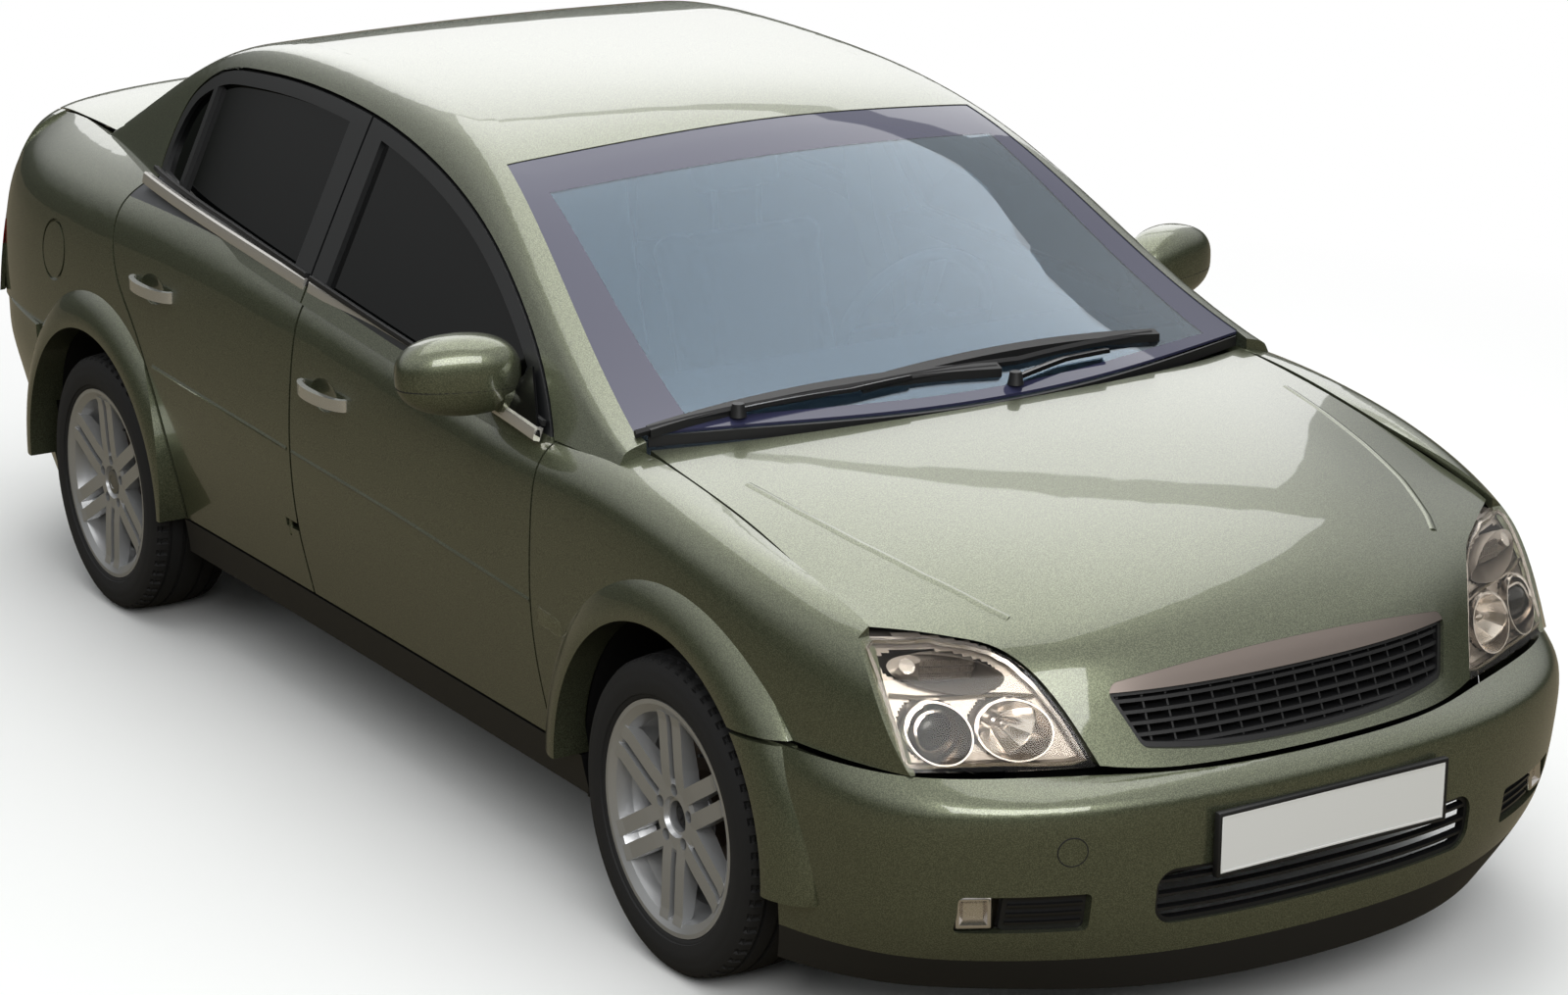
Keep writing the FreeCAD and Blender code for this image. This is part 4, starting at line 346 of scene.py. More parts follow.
# ring of points carried along a line of stations, each with its own upward direction
def sweepAlong(shape, stations, ups, profile, closed=False):
    count = len(stations)
    firstEdges = None
    ring = None
    edges = []
    for i, station in enumerate(stations):
        ahead = stations[(i + 1) % count if closed else min(i + 1, count - 1)]
        behind = stations[(i - 1) % count if closed else max(i - 1, 0)]
        run = (ahead - behind).normalized()
        side = run.cross(ups[i]).normalized()
        up = side.cross(run)
        spots = [station + side * a + up * b for a, b in profile]
        if ring is None:
            ring = [shape.verts.new(spot) for spot in spots]
            edges = closeLoop(shape, ring)
            firstEdges = list(edges)
            continue
        fresh = set(partsOf(bmesh.ops.extrude_edge_only(shape, edges=edges), bmesh.types.BMVert))
        ring = [next(e.other_vert(v) for e in v.link_edges if e.other_vert(v) in fresh) for v in ring]
        for vert, spot in zip(ring, spots):
            vert.co = spot
        edges = [shape.edges.get((ring[k], ring[(k + 1) % len(ring)])) for k in range(len(ring))]
    if closed:
        bmesh.ops.bridge_loops(shape, edges=edges + firstEdges)
    else:
        bmesh.ops.contextual_create(shape, geom=firstEdges)
        bmesh.ops.contextual_create(shape, geom=edges)


# outline of (distance along the axle, radius) turned about the X axis
def spinAbout(shape, outline, steps, closed=False):
    verts = [shape.verts.new((x, 0, r)) for x, r in outline]
    pairs = list(zip(verts, verts[1:])) + ([(verts[-1], verts[0])] if closed else [])
    edges = [shape.edges.new(pair) for pair in pairs]
    bmesh.ops.spin(shape, geom=verts + edges, cent=(0, 0, 0), axis=(1, 0, 0), dvec=(0, 0, 0), angle=2 * math.pi,
                   steps=steps, use_merge=True, use_duplicate=False)


def roundedBlock(shape, size, bevel, segments=2):
    bmesh.ops.create_cube(shape, size=1.0)
    bmesh.ops.scale(shape, vec=size, verts=shape.verts)
    bmesh.ops.bevel(shape, geom=shape.edges[:], offset=bevel, offset_type="OFFSET", affect="EDGES", segments=segments,
                    profile=0.5, material=-1)


# insets the large face that looks forward, once for each thickness and depth
def recessFront(shape, steps):
    front = max(shape.faces, key=lambda face: face.calc_area() if face.normal.y < -0.9 else 0)
    for thickness, depth in steps:
        bmesh.ops.inset_region(shape, faces=[front], thickness=thickness, depth=depth)
    return front


# one round bar, coned where its two radii differ
def addRod(shape, radius1, radius2, depth, segments, place=Matrix()):
    made = bmesh.ops.create_cone(shape, cap_ends=True, segments=segments, radius1=radius1, radius2=radius2,
                                 depth=depth)
    bmesh.ops.transform(shape, matrix=place, verts=made["verts"])


def addBlock(shape, size, place):
    made = bmesh.ops.create_cube(shape, size=1.0)
    bmesh.ops.scale(shape, verts=made["verts"], vec=size)
    bmesh.ops.translate(shape, verts=made["verts"], vec=place)


def turnShape(shape, degrees, axis):
    bmesh.ops.rotate(shape, verts=shape.verts, cent=(0, 0, 0), matrix=Matrix.Rotation(math.radians(degrees), 3, axis))


mirrorX = Matrix.Scale(-1, 4, (1, 0, 0))
bothSides = (Matrix(), mirrorX)
rightAndLeft = (("right", Matrix()), ("left", mirrorX))
surfaceTrees = {}


# first point of the named nodes that a ray meets, to seat trims on the CAD surface
def surfacePoint(names, start, way):
    key = tuple(names)
    if key not in surfaceTrees:
        gathered = bmesh.new()
        for name in names:
            gathered.from_mesh(nodes[name].data)
        surfaceTrees[key] = BVHTree.FromBMesh(gathered)
        gathered.free()
    return surfaceTrees[key].ray_cast(Vector(start), Vector(way))[:2]


# points where rays meet the named nodes, each with the surface's direction back towards the ray
def seatLine(names, starts, way):
    spots, ups = [], []
    for start in starts:
        spot, normal = surfacePoint(names, start, way)
        if spot is not None:
            spots.append(spot)
            ups.append(normal if normal.dot(Vector(way)) < 0 else -normal)
    return spots, ups


# count steps between two places, the last place included when whole is true
def between(first, last, count, whole=True):
    return [tuple(a + (b - a) * k / count for a, b in zip(first, last)) for k in range(count + (1 if whole else 0))]


# Tyres: moulded sidewall, four grooves round the tread and slots across the shoulders
tyreSettings = {"radius": 0.31717, "steps": 120, "slotDepth": 0.0045, "slotInset": 0.0052,
                "slotReach": 0.30, "slotFrom": 0.07, "slotTo": 0.1,
                "outline": ((0.0886, 0.2164), (0.0886, 0.2250), (0.0912, 0.2334), (0.0972, 0.2345), (0.1010, 0.2400),
                            (0.1010, 0.2425), (0.1042, 0.2440), (0.1070, 0.2600), (0.1068, 0.2760), (0.1050, 0.2810),
                            (0.1050, 0.2835), (0.1022, 0.2930), (0.0960, 0.3045), (0.0880, 0.3105), (0.0690, 0.3135),
                            (0.0682, 0.3075), (0.0610, 0.3075), (0.0602, 0.3145), (0.0340, 0.3160), (0.0332, 0.3090),
                            (0.0240, 0.3090), (0.0232, 0.3166), (0.0, 0.31717))}
wheelPlaces = {"front_left": (0.7675, -1.376), "front_right": (-0.7675, -1.376),
               "rear_left": (0.7625, 1.324), "rear_right": (-0.7625, 1.324)}


def wheelMatrix(corner):
    x, y = wheelPlaces[corner]
    matrix = Matrix.Translation((x, y, tyreSettings["radius"]))
    return matrix @ mirrorX if x < 0 else matrix


def buildTyre(shape):
    half = list(tyreSettings["outline"])
    outline = half + [(-x, r) for x, r in reversed(half[:-1])]
    spinAbout(shape, outline, tyreSettings["steps"], closed=True)
    bmesh.ops.remove_doubles(shape, verts=shape.verts, dist=0.00001)
    bmesh.ops.recalc_face_normals(shape, faces=shape.faces)
    step = 2 * math.pi / tyreSettings["steps"]
    chosen = []
    for face in shape.faces:
        centre = face.calc_center_median()
        turn = int(math.atan2(centre.z, centre.y) // step)
        reach = math.hypot(centre.y, centre.z)
        onShoulder = tyreSettings["slotFrom"] < abs(centre.x) < tyreSettings["slotTo"]
        if turn % 2 == 0 and reach > tyreSettings["slotReach"] and onShoulder:
            chosen.append(face)
    bmesh.ops.inset_individual(shape, faces=chosen, thickness=tyreSettings["slotInset"],
                               depth=-tyreSettings["slotDepth"])


def makeTyres():
    for corner in wheelPlaces:
        tyre = makePiece("treadedTyre_" + corner, rubber, "wheel_" + corner, buildTyre, (wheelMatrix(corner),))
        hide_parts("tyre_" + corner)


# Wheel hardware: five bolts sunk in their holes, a valve, and a plain cap where the cap is there
hardwareSettings = {
    "boltCircle": 0.055, "boltSize": 0.0098, "boltFrom": 0.041, "boltTo": 0.064, "boltTaper": 0.94,
    "collarRadius": 0.0114, "collarDepth": 0.006, "capRadius": 0.0305,
    "valveRadius": 0.182, "valveOut": 0.070, "valveTurn": 33, "valveLean": 70}


def buildBolts(shape):
    wheel = hardwareSettings
    middle, length = (wheel["boltTo"] + wheel["boltFrom"]) / 2, wheel["boltTo"] - wheel["boltFrom"]
    for i in range(5):
        place = (Matrix.Rotation(2 * math.pi * i / 5, 4, "X") @ Matrix.Translation((middle, 0, wheel["boltCircle"]))
                 @ Matrix.Rotation(math.pi / 2, 4, "Y"))
        addRod(shape, wheel["boltSize"], wheel["boltSize"] * wheel["boltTaper"], length, 6, place)
        addRod(shape, wheel["collarRadius"], wheel["collarRadius"], wheel["collarDepth"], 20,
               place @ Matrix.Translation((0, 0, -wheel["collarDepth"])))


def buildValve(shape):
    wheel = hardwareSettings
    place = (Matrix.Rotation(math.radians(wheel["valveTurn"]), 4, "X")
             @ Matrix.Translation((wheel["valveOut"], 0, wheel["valveRadius"]))
             @ Matrix.Rotation(math.radians(wheel["valveLean"]), 4, "Y"))
    addRod(shape, 0.0045, 0.0032, 0.034, 12, place)


def buildCap(shape):
    r = hardwareSettings["capRadius"]
    spinAbout(shape, ((0.060, 0.0), (0.060, r * 0.9), (0.074, r), (0.077, r * 0.97), (0.0785, r * 0.8),
                      (0.0790, r * 0.55), (0.0775, r * 0.5), (0.0780, 0.0)), 40)


def buildHubNut(shape):
    spinAbout(shape, ((0.050, 0.0), (0.050, 0.0295), (0.058, 0.0295), (0.060, 0.026), (0.056, 0.017), (0.064, 0.0165),
                      (0.066, 0.015), (0.066, 0.008), (0.070, 0.0075), (0.071, 0.0)), 32)


def makeWheelHardware():
    for corner in wheelPlaces:
        place = (wheelMatrix(corner),)
        makePiece("wheelBolts_" + corner, zincSteel, "wheel_" + corner, buildBolts, place, 25)
        makePiece("tyreValve_" + corner, sealRubber, "wheel_" + corner, buildValve, place)
        if corner == "front_right":
            # this wheel has lost its cap, so the hub shows
            makePiece("bareHub_" + corner, castIron, "wheel_" + corner, buildHubNut, place)
        else:
            makePiece("hubCap_" + corner, zincSteel, "wheel_" + corner, buildCap, place)


# Headlamps: silvered bowls set in a pale bezel behind the clear cover
lampSettings = {
    "box": ((-0.765, -0.425), (0.575, 0.815)), "step": 0.0045, "back": 0.034, "clear": 0.009,
    "beam": {"x": -0.682, "z": 0.6500, "radius": 0.051, "lens": 0.032, "back": 0.030},
    "flood": {"x": -0.558, "z": 0.6500, "radius": 0.050, "back": 0.036, "stretch": 1.25},
    "turn": {"x": -0.640, "z": 0.7440, "length": 0.190, "height": 0.060, "lean": 9, "back": 0.034},
    "middle": (-0.6137, 0.6813), "edgeInset": 0.008, "edgeSpots": 72, "march": 0.002,
    "tubFrom": 0.012, "tubWall": 0.002,
    "divider": ((-0.742, 0.712), (-0.70, 0.707), (-0.65, 0.706), (-0.60, 0.707), (-0.55, 0.706), (-0.508, 0.700)),
}


def lampSurface(x, z):
    spot = surfacePoint(["headlamp_covers"], (x, -3.0, z), (0, 1, 0))[0]
    return spot.y if spot is not None else None


# keeps every point of a lamp part behind the clear cover
def holdBehindCover(shape):
    for vert in shape.verts:
        cover = lampSurface(vert.co.x, vert.co.z)
        if cover is not None:
            vert.co.y = max(vert.co.y, cover + lampSettings["clear"])


def inBowl(x, z):
    for name in ("beam", "flood"):
        bowl = lampSettings[name]
        if math.hypot((x - bowl["x"]) / bowl.get("stretch", 1.0), z - bowl["z"]) < bowl["radius"] * 1.02:
            return True
    turn = lampSettings["turn"]
    lean = math.radians(turn["lean"])
    along = (x - turn["x"]) * math.cos(lean) - (z - turn["z"]) * math.sin(lean)
    over = (x - turn["x"]) * math.sin(lean) + (z - turn["z"]) * math.cos(lean)
    return (along / (turn["length"] / 2)) ** 2 + (over / (turn["height"] / 2)) ** 2 < 1.0


def buildBezel(shape):
    (left, right), (low, high) = lampSettings["box"]
    step = lampSettings["step"]
    bmesh.ops.create_grid(shape, x_segments=int((right - left) / step), y_segments=int((high - low) / step), size=0.5)
    lost = []
    for vert in shape.verts:
        x = left + (right - left) * (vert.co.x + 0.5)
        z = low + (high - low) * (vert.co.y + 0.5)
        cover = lampSurface(x, z)
        if cover is None or inBowl(x, z):
            lost.append(vert)
        else:
            vert.co = Vector((x, cover + lampSettings["back"], z))
    bmesh.ops.delete(shape, geom=lost, context="VERTS")
    bmesh.ops.solidify(shape, geom=shape.faces[:], thickness=0.002)


# a lamp part is drawn round the X axis, turned to face forward and held behind the cover
def lampPart(bowlName, draw):
    bowl = lampSettings[bowlName]

    def build(shape):
        draw(shape, bowl)
        turnShape(shape, -90, "Z")
        bmesh.ops.scale(shape, verts=shape.verts, vec=(bowl.get("stretch", 1.0), 1, 1))
        centre = lampSurface(bowl["x"], bowl["z"])
        bmesh.ops.translate(shape, verts=shape.verts, vec=(bowl["x"], centre + bowl["back"], bowl["z"]))
        holdBehindCover(shape)
    return build


def drawBeamBowl(shape, bowl):
    r = bowl["radius"]
    spinAbout(shape, ((-0.060, 0.0), (-0.058, r * 0.4), (-0.048, r * 0.62), (-0.030, r * 0.8), (-0.010, r * 0.93),
                      (0.0, r), (0.0, r * 1.06), (-0.060, r * 1.06)), 56)


# wall that carries a bowl forward to the bezel
def drawWall(shape, bowl):
    r = bowl["radius"]
    spinAbout(shape, ((0.070, r * 1.0), (0.070, r * 1.05), (0.0, r * 1.07), (0.0, r * 1.0)), 56, closed=True)


def drawBeamShroud(shape, bowl):
    lens = bowl["lens"]
    spinAbout(shape, ((-0.040, lens), (-0.002, lens * 1.05), (0.004, lens * 1.12), (0.002, lens * 1.24),
                      (-0.040, lens * 1.3)), 48, closed=True)


def drawBeamLens(shape, bowl):
    lens = bowl["lens"]
    spinAbout(shape, ((-0.020, 0.0), (-0.020, lens * 1.02), (-0.006, lens * 1.02), (0.002, lens * 0.86),
                      (0.009, lens * 0.55), (0.012, 0.0)), 48)


# twelve flat facets throw the light about as the moulded steps of the real reflector do
def drawFloodBowl(shape, bowl):
    r = bowl["radius"]
    spinAbout(shape, ((-0.050, 0.010), (-0.050, r * 0.35), (-0.036, r * 0.6), (-0.018, r * 0.82), (0.0, r),
                      (0.0, r * 1.06), (-0.050, r * 1.06)), 12)


def drawFloodBulb(shape, bowl):
    spinAbout(shape, ((-0.050, 0.0), (-0.050, 0.012), (-0.030, 0.012), (-0.026, 0.008), (-0.010, 0.0075),
                      (-0.004, 0.0)), 24)


# the turn lamp is drawn lying down, its depth along Z, and stood up behind the cover
turnSettings = {"wall": 0.030, "forward": 0.060, "steps": ((0.006, 0.008), (0.008, 0.006)),
                "ribRows": (-0.014, -0.001, 0.012), "ribs": 24, "ribFrom": -0.036, "ribPitch": 0.0048,
                "ribSize": (0.0026, 0.0100, 0.007), "ribDepth": -0.0155,
                "bulbRadius": 0.014, "bulbPlace": (-0.062, 0.004, -0.024)}


def placeTurn(draw):
    turn = lampSettings["turn"]

    def build(shape):
        draw(shape)
        turnShape(shape, 90, "X")
        turnShape(shape, turn["lean"], "Y")
        centre = lampSurface(turn["x"], turn["z"])
        bmesh.ops.translate(shape, verts=shape.verts, vec=(turn["x"], centre + turn["back"], turn["z"]))
        holdBehindCover(shape)
    return build


def drawTurnBowl(shape):
    turn = lampSettings["turn"]
    bmesh.ops.create_circle(shape, cap_ends=True, segments=48, radius=0.5)
    bmesh.ops.scale(shape, verts=shape.verts, vec=(turn["length"], turn["height"], 1.0))
    mouth = shape.faces[:]
    top = bmesh.ops.extrude_face_region(shape, geom=mouth)
    bmesh.ops.delete(shape, geom=[face for face in mouth if face.is_valid], context="FACES_ONLY")
    bmesh.ops.translate(shape, verts=partsOf(top, bmesh.types.BMVert), vec=(0, 0, -turnSettings["wall"]))
    floor = partsOf(top, bmesh.types.BMFace)
    for thickness, depth in turnSettings["steps"]:
        bmesh.ops.inset_region(shape, faces=floor, thickness=thickness, depth=depth, use_even_offset=True)
    rim = [vert for vert in shape.verts if vert.co.z > -0.001]
    bmesh.ops.translate(shape, verts=rim, vec=(0, 0, turnSettings["forward"]))


def drawTurnRibs(shape):
    turn = turnSettings
    for row in turn["ribRows"]:
        for i in range(turn["ribs"]):
            addBlock(shape, turn["ribSize"], (turn["ribFrom"] + i * turn["ribPitch"], row, turn["ribDepth"]))


def drawTurnBulb(shape):
    bmesh.ops.create_uvsphere(shape, u_segments=24, v_segments=14, radius=turnSettings["bulbRadius"])
    bmesh.ops.scale(shape, verts=shape.verts, vec=(1, 1, 1.5))
    bmesh.ops.translate(shape, verts=shape.verts, vec=turnSettings["bulbPlace"])


# line just inside the edge of the cover, from rays spread round its middle
def lampEdge():
    x0, z0 = lampSettings["middle"]
    step, count = lampSettings["march"], lampSettings["edgeSpots"]
    spots = []
    for i in range(count):
        turn = 2 * math.pi * (i + 0.37) / count
        # the furthest hit counts, because a ray can be lost on a seam of the mesh
        hits = [step * k for k in range(10, 150)
                if lampSurface(x0 + math.cos(turn) * step * k, z0 + math.sin(turn) * step * k) is not None]
        reach = max(hits) - lampSettings["edgeInset"]
        spots.append((x0 + math.cos(turn) * reach, z0 + math.sin(turn) * reach))
    return [(x, z) for x, z in spots if lampSurface(x, z) is not None]


def lampLine(spots, width, thick, back, closed):
    stations = [Vector((x, lampSurface(x, z) + back, z)) for x, z in spots if lampSurface(x, z) is not None]

    def build(shape):
        sweepAlong(shape, stations, [Vector((0, -1, 0))] * len(stations),
                   ((-width / 2, -thick), (width / 2, -thick), (width / 2, 0), (-width / 2, 0)), closed)
    return build


# the tub that holds the bowls: walls from the edge of the cover to a flat back
def buildTub(shape):
    wall = lampSettings["tubWall"]
    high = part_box("headlamp_housings")[1]
    ring = [shape.verts.new((x, lampSurface(x, z) + lampSettings["tubFrom"], z)) for x, z in lampEdge()]
    walls = bmesh.ops.extrude_edge_only(shape, edges=closeLoop(shape, ring))
    floor = partsOf(walls, bmesh.types.BMVert)
    for vert in floor:
        vert.co.y = high[1] - wall
    rim = [edge for edge in partsOf(walls, bmesh.types.BMEdge) if all(vert in floor for vert in edge.verts)]
    bmesh.ops.contextual_create(shape, geom=rim)
    bmesh.ops.solidify(shape, geom=shape.faces[:], thickness=wall)


def makeHeadlamps():
    tub = makePiece("lampTubs", paleBezel, "car_body", buildTub, bothSides)
    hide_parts("headlamp_housings")
    rows = (("lampBezels", paleBezel, buildBezel, "clear_lens", 35),
            ("beamBowls", aluminised, lampPart("beam", drawBeamBowl), "chrome", 35),
            ("beamWalls", brightBar, lampPart("beam", drawWall), "chrome", 35),
            ("beamShrouds", brightBar, lampPart("beam", drawBeamShroud), "chrome", 35),
            ("beamLenses", glossBlack, lampPart("beam", drawBeamLens), "clear_lens", 35),
            ("floodBowls", aluminised, lampPart("flood", drawFloodBowl), "chrome", 12),
            ("floodWalls", brightBar, lampPart("flood", drawWall), "chrome", 35),
            ("floodBulbs", brightBar, lampPart("flood", drawFloodBulb), "clear_lens", 35),
            ("turnBowls", ribbedReflector, placeTurn(drawTurnBowl), "chrome", 35),
            ("turnRibs", ribbedReflector, placeTurn(drawTurnRibs), "chrome", 35),
            ("turnBulbs", brightBar, placeTurn(drawTurnBulb), "clear_lens", 35),
            ("lampEdges", brightBar, lampLine(lampEdge(), 0.007, 0.005, 0.012, True), "chrome", 35),
            ("lampDividers", brightBar, lampLine(lampSettings["divider"], 0.005, 0.010, 0.018, False), "chrome", 35))
    for name, material, build, slot, sharpAngle in rows:
        makePiece(name, material, "car_body", build, bothSides, sharpAngle)


# Fog lamps and the slats beside them
fogSettings = {"x": -0.662, "z": 0.334, "width": 0.066, "height": 0.062, "slats": (0.312, 0.330, 0.348, 0.366),
               "slatFrom": -0.612, "slatTo": -0.490}


def buildFogBowl(shape):
    fog = fogSettings
    spot = surfacePoint(["fog_lamps"], (fog["x"], -3.0, fog["z"]), (0, 1, 0))[0]
    roundedBlock(shape, (fog["width"], 0.012, fog["height"]), 0.005)
    front = recessFront(shape, ((0.004, 0.0), (0.010, -0.009)))
    bmesh.ops.poke(shape, faces=[front], offset=-0.004)
    turnShape(shape, -30, "Z")
    bmesh.ops.translate(shape, verts=shape.verts, vec=spot - Vector((0, 0.002, 0)))


def slotSlat(z):
    starts = between((fogSettings["slatFrom"], -3.0, z), (fogSettings["slatTo"], -3.0, z), 8)
    stations = seatLine(["bumper_grilles"], starts, (0, 1, 0))[0]

    def build(shape):
        sweepAlong(shape, stations, [Vector((0, 0, 1))] * len(stations),
                   ((-0.004, -0.003), (0.008, -0.002), (0.008, 0.002), (-0.004, 0.003)))
    return build


def makeFogLamps():
    makePiece("fogBowls", aluminised, "car_body", buildFogBowl, bothSides, 20)
    for number, z in enumerate(fogSettings["slats"]):
        makePiece("slotSlats_%d" % number, glossBlack, "car_body", slotSlat(z), bothSides)


# Belt strips: bright mouldings under the side windows with a rubber seal above, seated on the doors
beltStrip = {"height": 0.028, "proud": 0.006, "sink": 0.012, "readBelow": 0.045, "lean": 0.33, "step": 0.05,
             "sealAbove": 0.006, "sealHeight": 0.012, "sealProud": 0.004, "sealSink": 0.006,
             "spans": {"front": (-0.870, 0.246), "rear": (0.268, 1.200)}}


def beltLine(bodyNode, yFrom, yTo, lift):
    stations = []
    count = max(2, int((yTo - yFrom) / beltStrip["step"]))
    for i in range(count + 1):
        y = yFrom + (yTo - yFrom) * i / count
        z = beltSettings["height"] + beltSettings["slope"] * y + lift
        # the skin is read below the window opening and carried up along its lean
        low = surfacePoint([bodyNode], (-1.6, y, z - beltStrip["readBelow"]), (1, 0, 0))[0]
        if low is not None and low.x <= -0.5:
            stations.append(Vector((low.x + beltStrip["lean"] * beltStrip["readBelow"], y, z)))
    return stations, [Vector((-1.0, 0.0, beltStrip["lean"])).normalized()] * len(stations)


def sideStrip(bodyNode, span, lift, height, proud, sink):
    stations, ups = beltLine(bodyNode, span[0], span[1], lift)
    half = height / 2

    def build(shape):
        sweepAlong(shape, stations, ups, ((-half, -sink), (half, -sink), (half, proud * 0.4), (half * 0.7, proud),
                                          (-half * 0.7, proud * 0.65), (-half, proud * 0.3)))
    return build


def makeBeltStrips():
    belt = beltStrip
    for side, place in rightAndLeft:
        for door, span in belt["spans"].items():
            node, body = "door_%s_right" % door, "%s_door_%s" % (door, side)
            strip = sideStrip(node, span, belt["height"] / 2, belt["height"], belt["proud"], belt["sink"])
            makePiece("beltStrip_%s_%s" % (door, side), reflectionPaintedTrim, body, strip, (place,))
            seal = sideStrip(node, span, belt["height"] + belt["sealAbove"], belt["sealHeight"], belt["sealProud"],
                             belt["sealSink"])
            makePiece("windowSeal_%s_%s" % (door, side), sealRubber, body, seal, (place,))


# Crease along the flank: a low rib pressed into the door skins
creaseSettings = {"places": ((-0.892, 0.615), (-0.296, 0.642), (0.175, 0.656), (0.985, 0.687)), "height": 0.010,
                  "proud": 0.0026, "root": 0.003, "steps": 22,
                  "spans": {"front": (-0.862, 0.236), "rear": (0.262, 0.985)}}


def creaseHeight(y):
    places = creaseSettings["places"]
    for (y0, z0), (y1, z1) in zip(places, places[1:]):
        if y <= y1 or (y1, z1) == places[-1]:
            return z0 + (z1 - z0) * (y - y0) / (y1 - y0)


def makeCreases():
    half, proud, root = creaseSettings["height"] / 2, creaseSettings["proud"], creaseSettings["root"]
    for door, span in creaseSettings["spans"].items():
        starts = [(-1.6, y, creaseHeight(y)) for y, in between(span[:1], span[1:], creaseSettings["steps"])]
        stations, ups = seatLine(["door_%s_right" % door], starts, (1, 0, 0))

        def build(shape):
            sweepAlong(shape, stations, ups, ((-half, -root), (half, -root), (half, 0.0002), (0, proud),
                                              (-half, 0.0002)))
        for side, place in rightAndLeft:
            makePiece("doorCrease_%s_%s" % (door, side), paint, "%s_door_%s" % (door, side), build, (place,))


# Creases that run down the bonnet towards the lamps
bonnetCrease = {"places": ((0.650, -1.330), (0.632, -1.480), (0.604, -1.640), (0.566, -1.800), (0.520, -1.930),
                           (0.492, -1.985)), "width": 0.016, "proud": 0.0030, "root": 0.003}


def makeBonnetCreases():
    starts = []
    for first, last in zip(bonnetCrease["places"], bonnetCrease["places"][1:]):
        starts += [(x, y, 2.0) for x, y in between(first, last, 5, whole=False)]
    stations, ups = seatLine(["bonnet"], starts, (0, 0, -1))
    half, proud, root = bonnetCrease["width"] / 2, bonnetCrease["proud"], bonnetCrease["root"]

    def build(shape):
        sweepAlong(shape, stations, ups, ((-half, -root), (half, -root), (half, 0.0001), (half * 0.2, proud),
                                          (-half * 0.1, proud * 0.9), (-half, 0.0001)))
    makePiece("bonnetCreases", paint, "bonnet", build, bothSides)


# Number plates: a blank sheet in a black holder, one at each end, leaning with the panel behind it
plateSettings = {
    "width": 0.520, "height": 0.110, "frame": 0.008, "sheetOut": 0.0055, "leanSpan": 0.04,
    "ends": {"front": {"node": "front_bumper", "body": "car_body", "z": 0.440, "way": 1, "gap": -0.002, "turn": 0.0},
             "rear": {"node": "boot_lid", "body": "boot_lid", "z": 0.700, "way": -1, "gap": 0.003, "turn": math.pi}}}


def buildPlate(shape):
    roundedBlock(shape, (plateSettings["width"], 0.003, plateSettings["height"]), 0.0012)
    recessFront(shape, ((0.004, 0.0), (0.001, -0.0008)))


def buildHolder(shape):
    frameWidth = plateSettings["frame"]
    size = (plateSettings["width"] + 2 * frameWidth, 0.016, plateSettings["height"] + 2 * frameWidth)
    roundedBlock(shape, size, 0.004)
    recessFront(shape, ((frameWidth * 0.6, 0.0), (0.0015, -0.005)))


def makePlates():
    span, out = plateSettings["leanSpan"], Matrix.Translation((0, -plateSettings["sheetOut"], 0))
    for end, seat in plateSettings["ends"].items():
        low, high = [surfacePoint([seat["node"]], (0.0, -4.0 * seat["way"], seat["z"] + lift), (0, seat["way"], 0))[0]
                     for lift in (0.0, span)]
        lean = math.atan2(high.y - low.y, span)
        place = (Matrix.Translation((0, low.y + seat["gap"], seat["z"])) @ Matrix.Rotation(-lean, 4, "X")
                 @ Matrix.Rotation(seat["turn"], 4, "Z"))
        makePiece("plateHolder_" + end, blackPlastic, seat["body"], buildHolder, (place,))
        makePiece("blankPlate_" + end, plateEnamel, seat["body"], buildPlate, (place @ out,))


# Bright bar across the boot lid, above the plate
bootBarSettings = {"size": (0.62, 0.022, 0.034), "height": 0.80, "proud": 0.004, "bevel": 0.008}


def makeBootBar():
    bar = bootBarSettings
    spot = surfacePoint(["boot_lid"], (0.0, 4.0, bar["height"]), (0, -1, 0))[0]

    def buildBar(shape):
        roundedBlock(shape, bar["size"], bar["bevel"], 3)
    place = Matrix.Translation((0, spot.y + bar["proud"], bar["height"]))
    makePiece("bootBar", chrome, "boot_lid", buildBar, (place,))


# Wipers: arms from the cowl pivots to the blades, with caps over the spindles
wiperSettings = {
    "arms": (((-0.540, -1.118), (-0.30, -1.150), (-0.16, -1.152)),
             ((0.060, -1.203), (0.20, -1.172), (0.32, -1.160))),
    "blades": (((-0.745, -1.070), (-0.40, -1.127), (0.040, -1.163)),
               ((-0.265, -1.140), (0.10, -1.150), (0.470, -1.105))),
    "armLift": 0.016, "bladeLift": 0.008,
    "over": ("windscreen", "cowl_panel", "bonnet", "side_frame_left", "side_frame_right", "wing_left", "wing_right")}


def screenLine(spots, lift):
    starts = []
    for first, last in zip(spots, spots[1:]):
        starts += [(x, y, 2.0) for x, y in between(first, last, 6, whole=False)]
    starts.append(spots[-1] + (2.0,))
    stations = [spot + Vector((0, 0, lift)) for spot in seatLine(wiperSettings["over"], starts, (0, 0, -1))[0]]
    return stations, [Vector((0, 0, 1))] * len(stations)


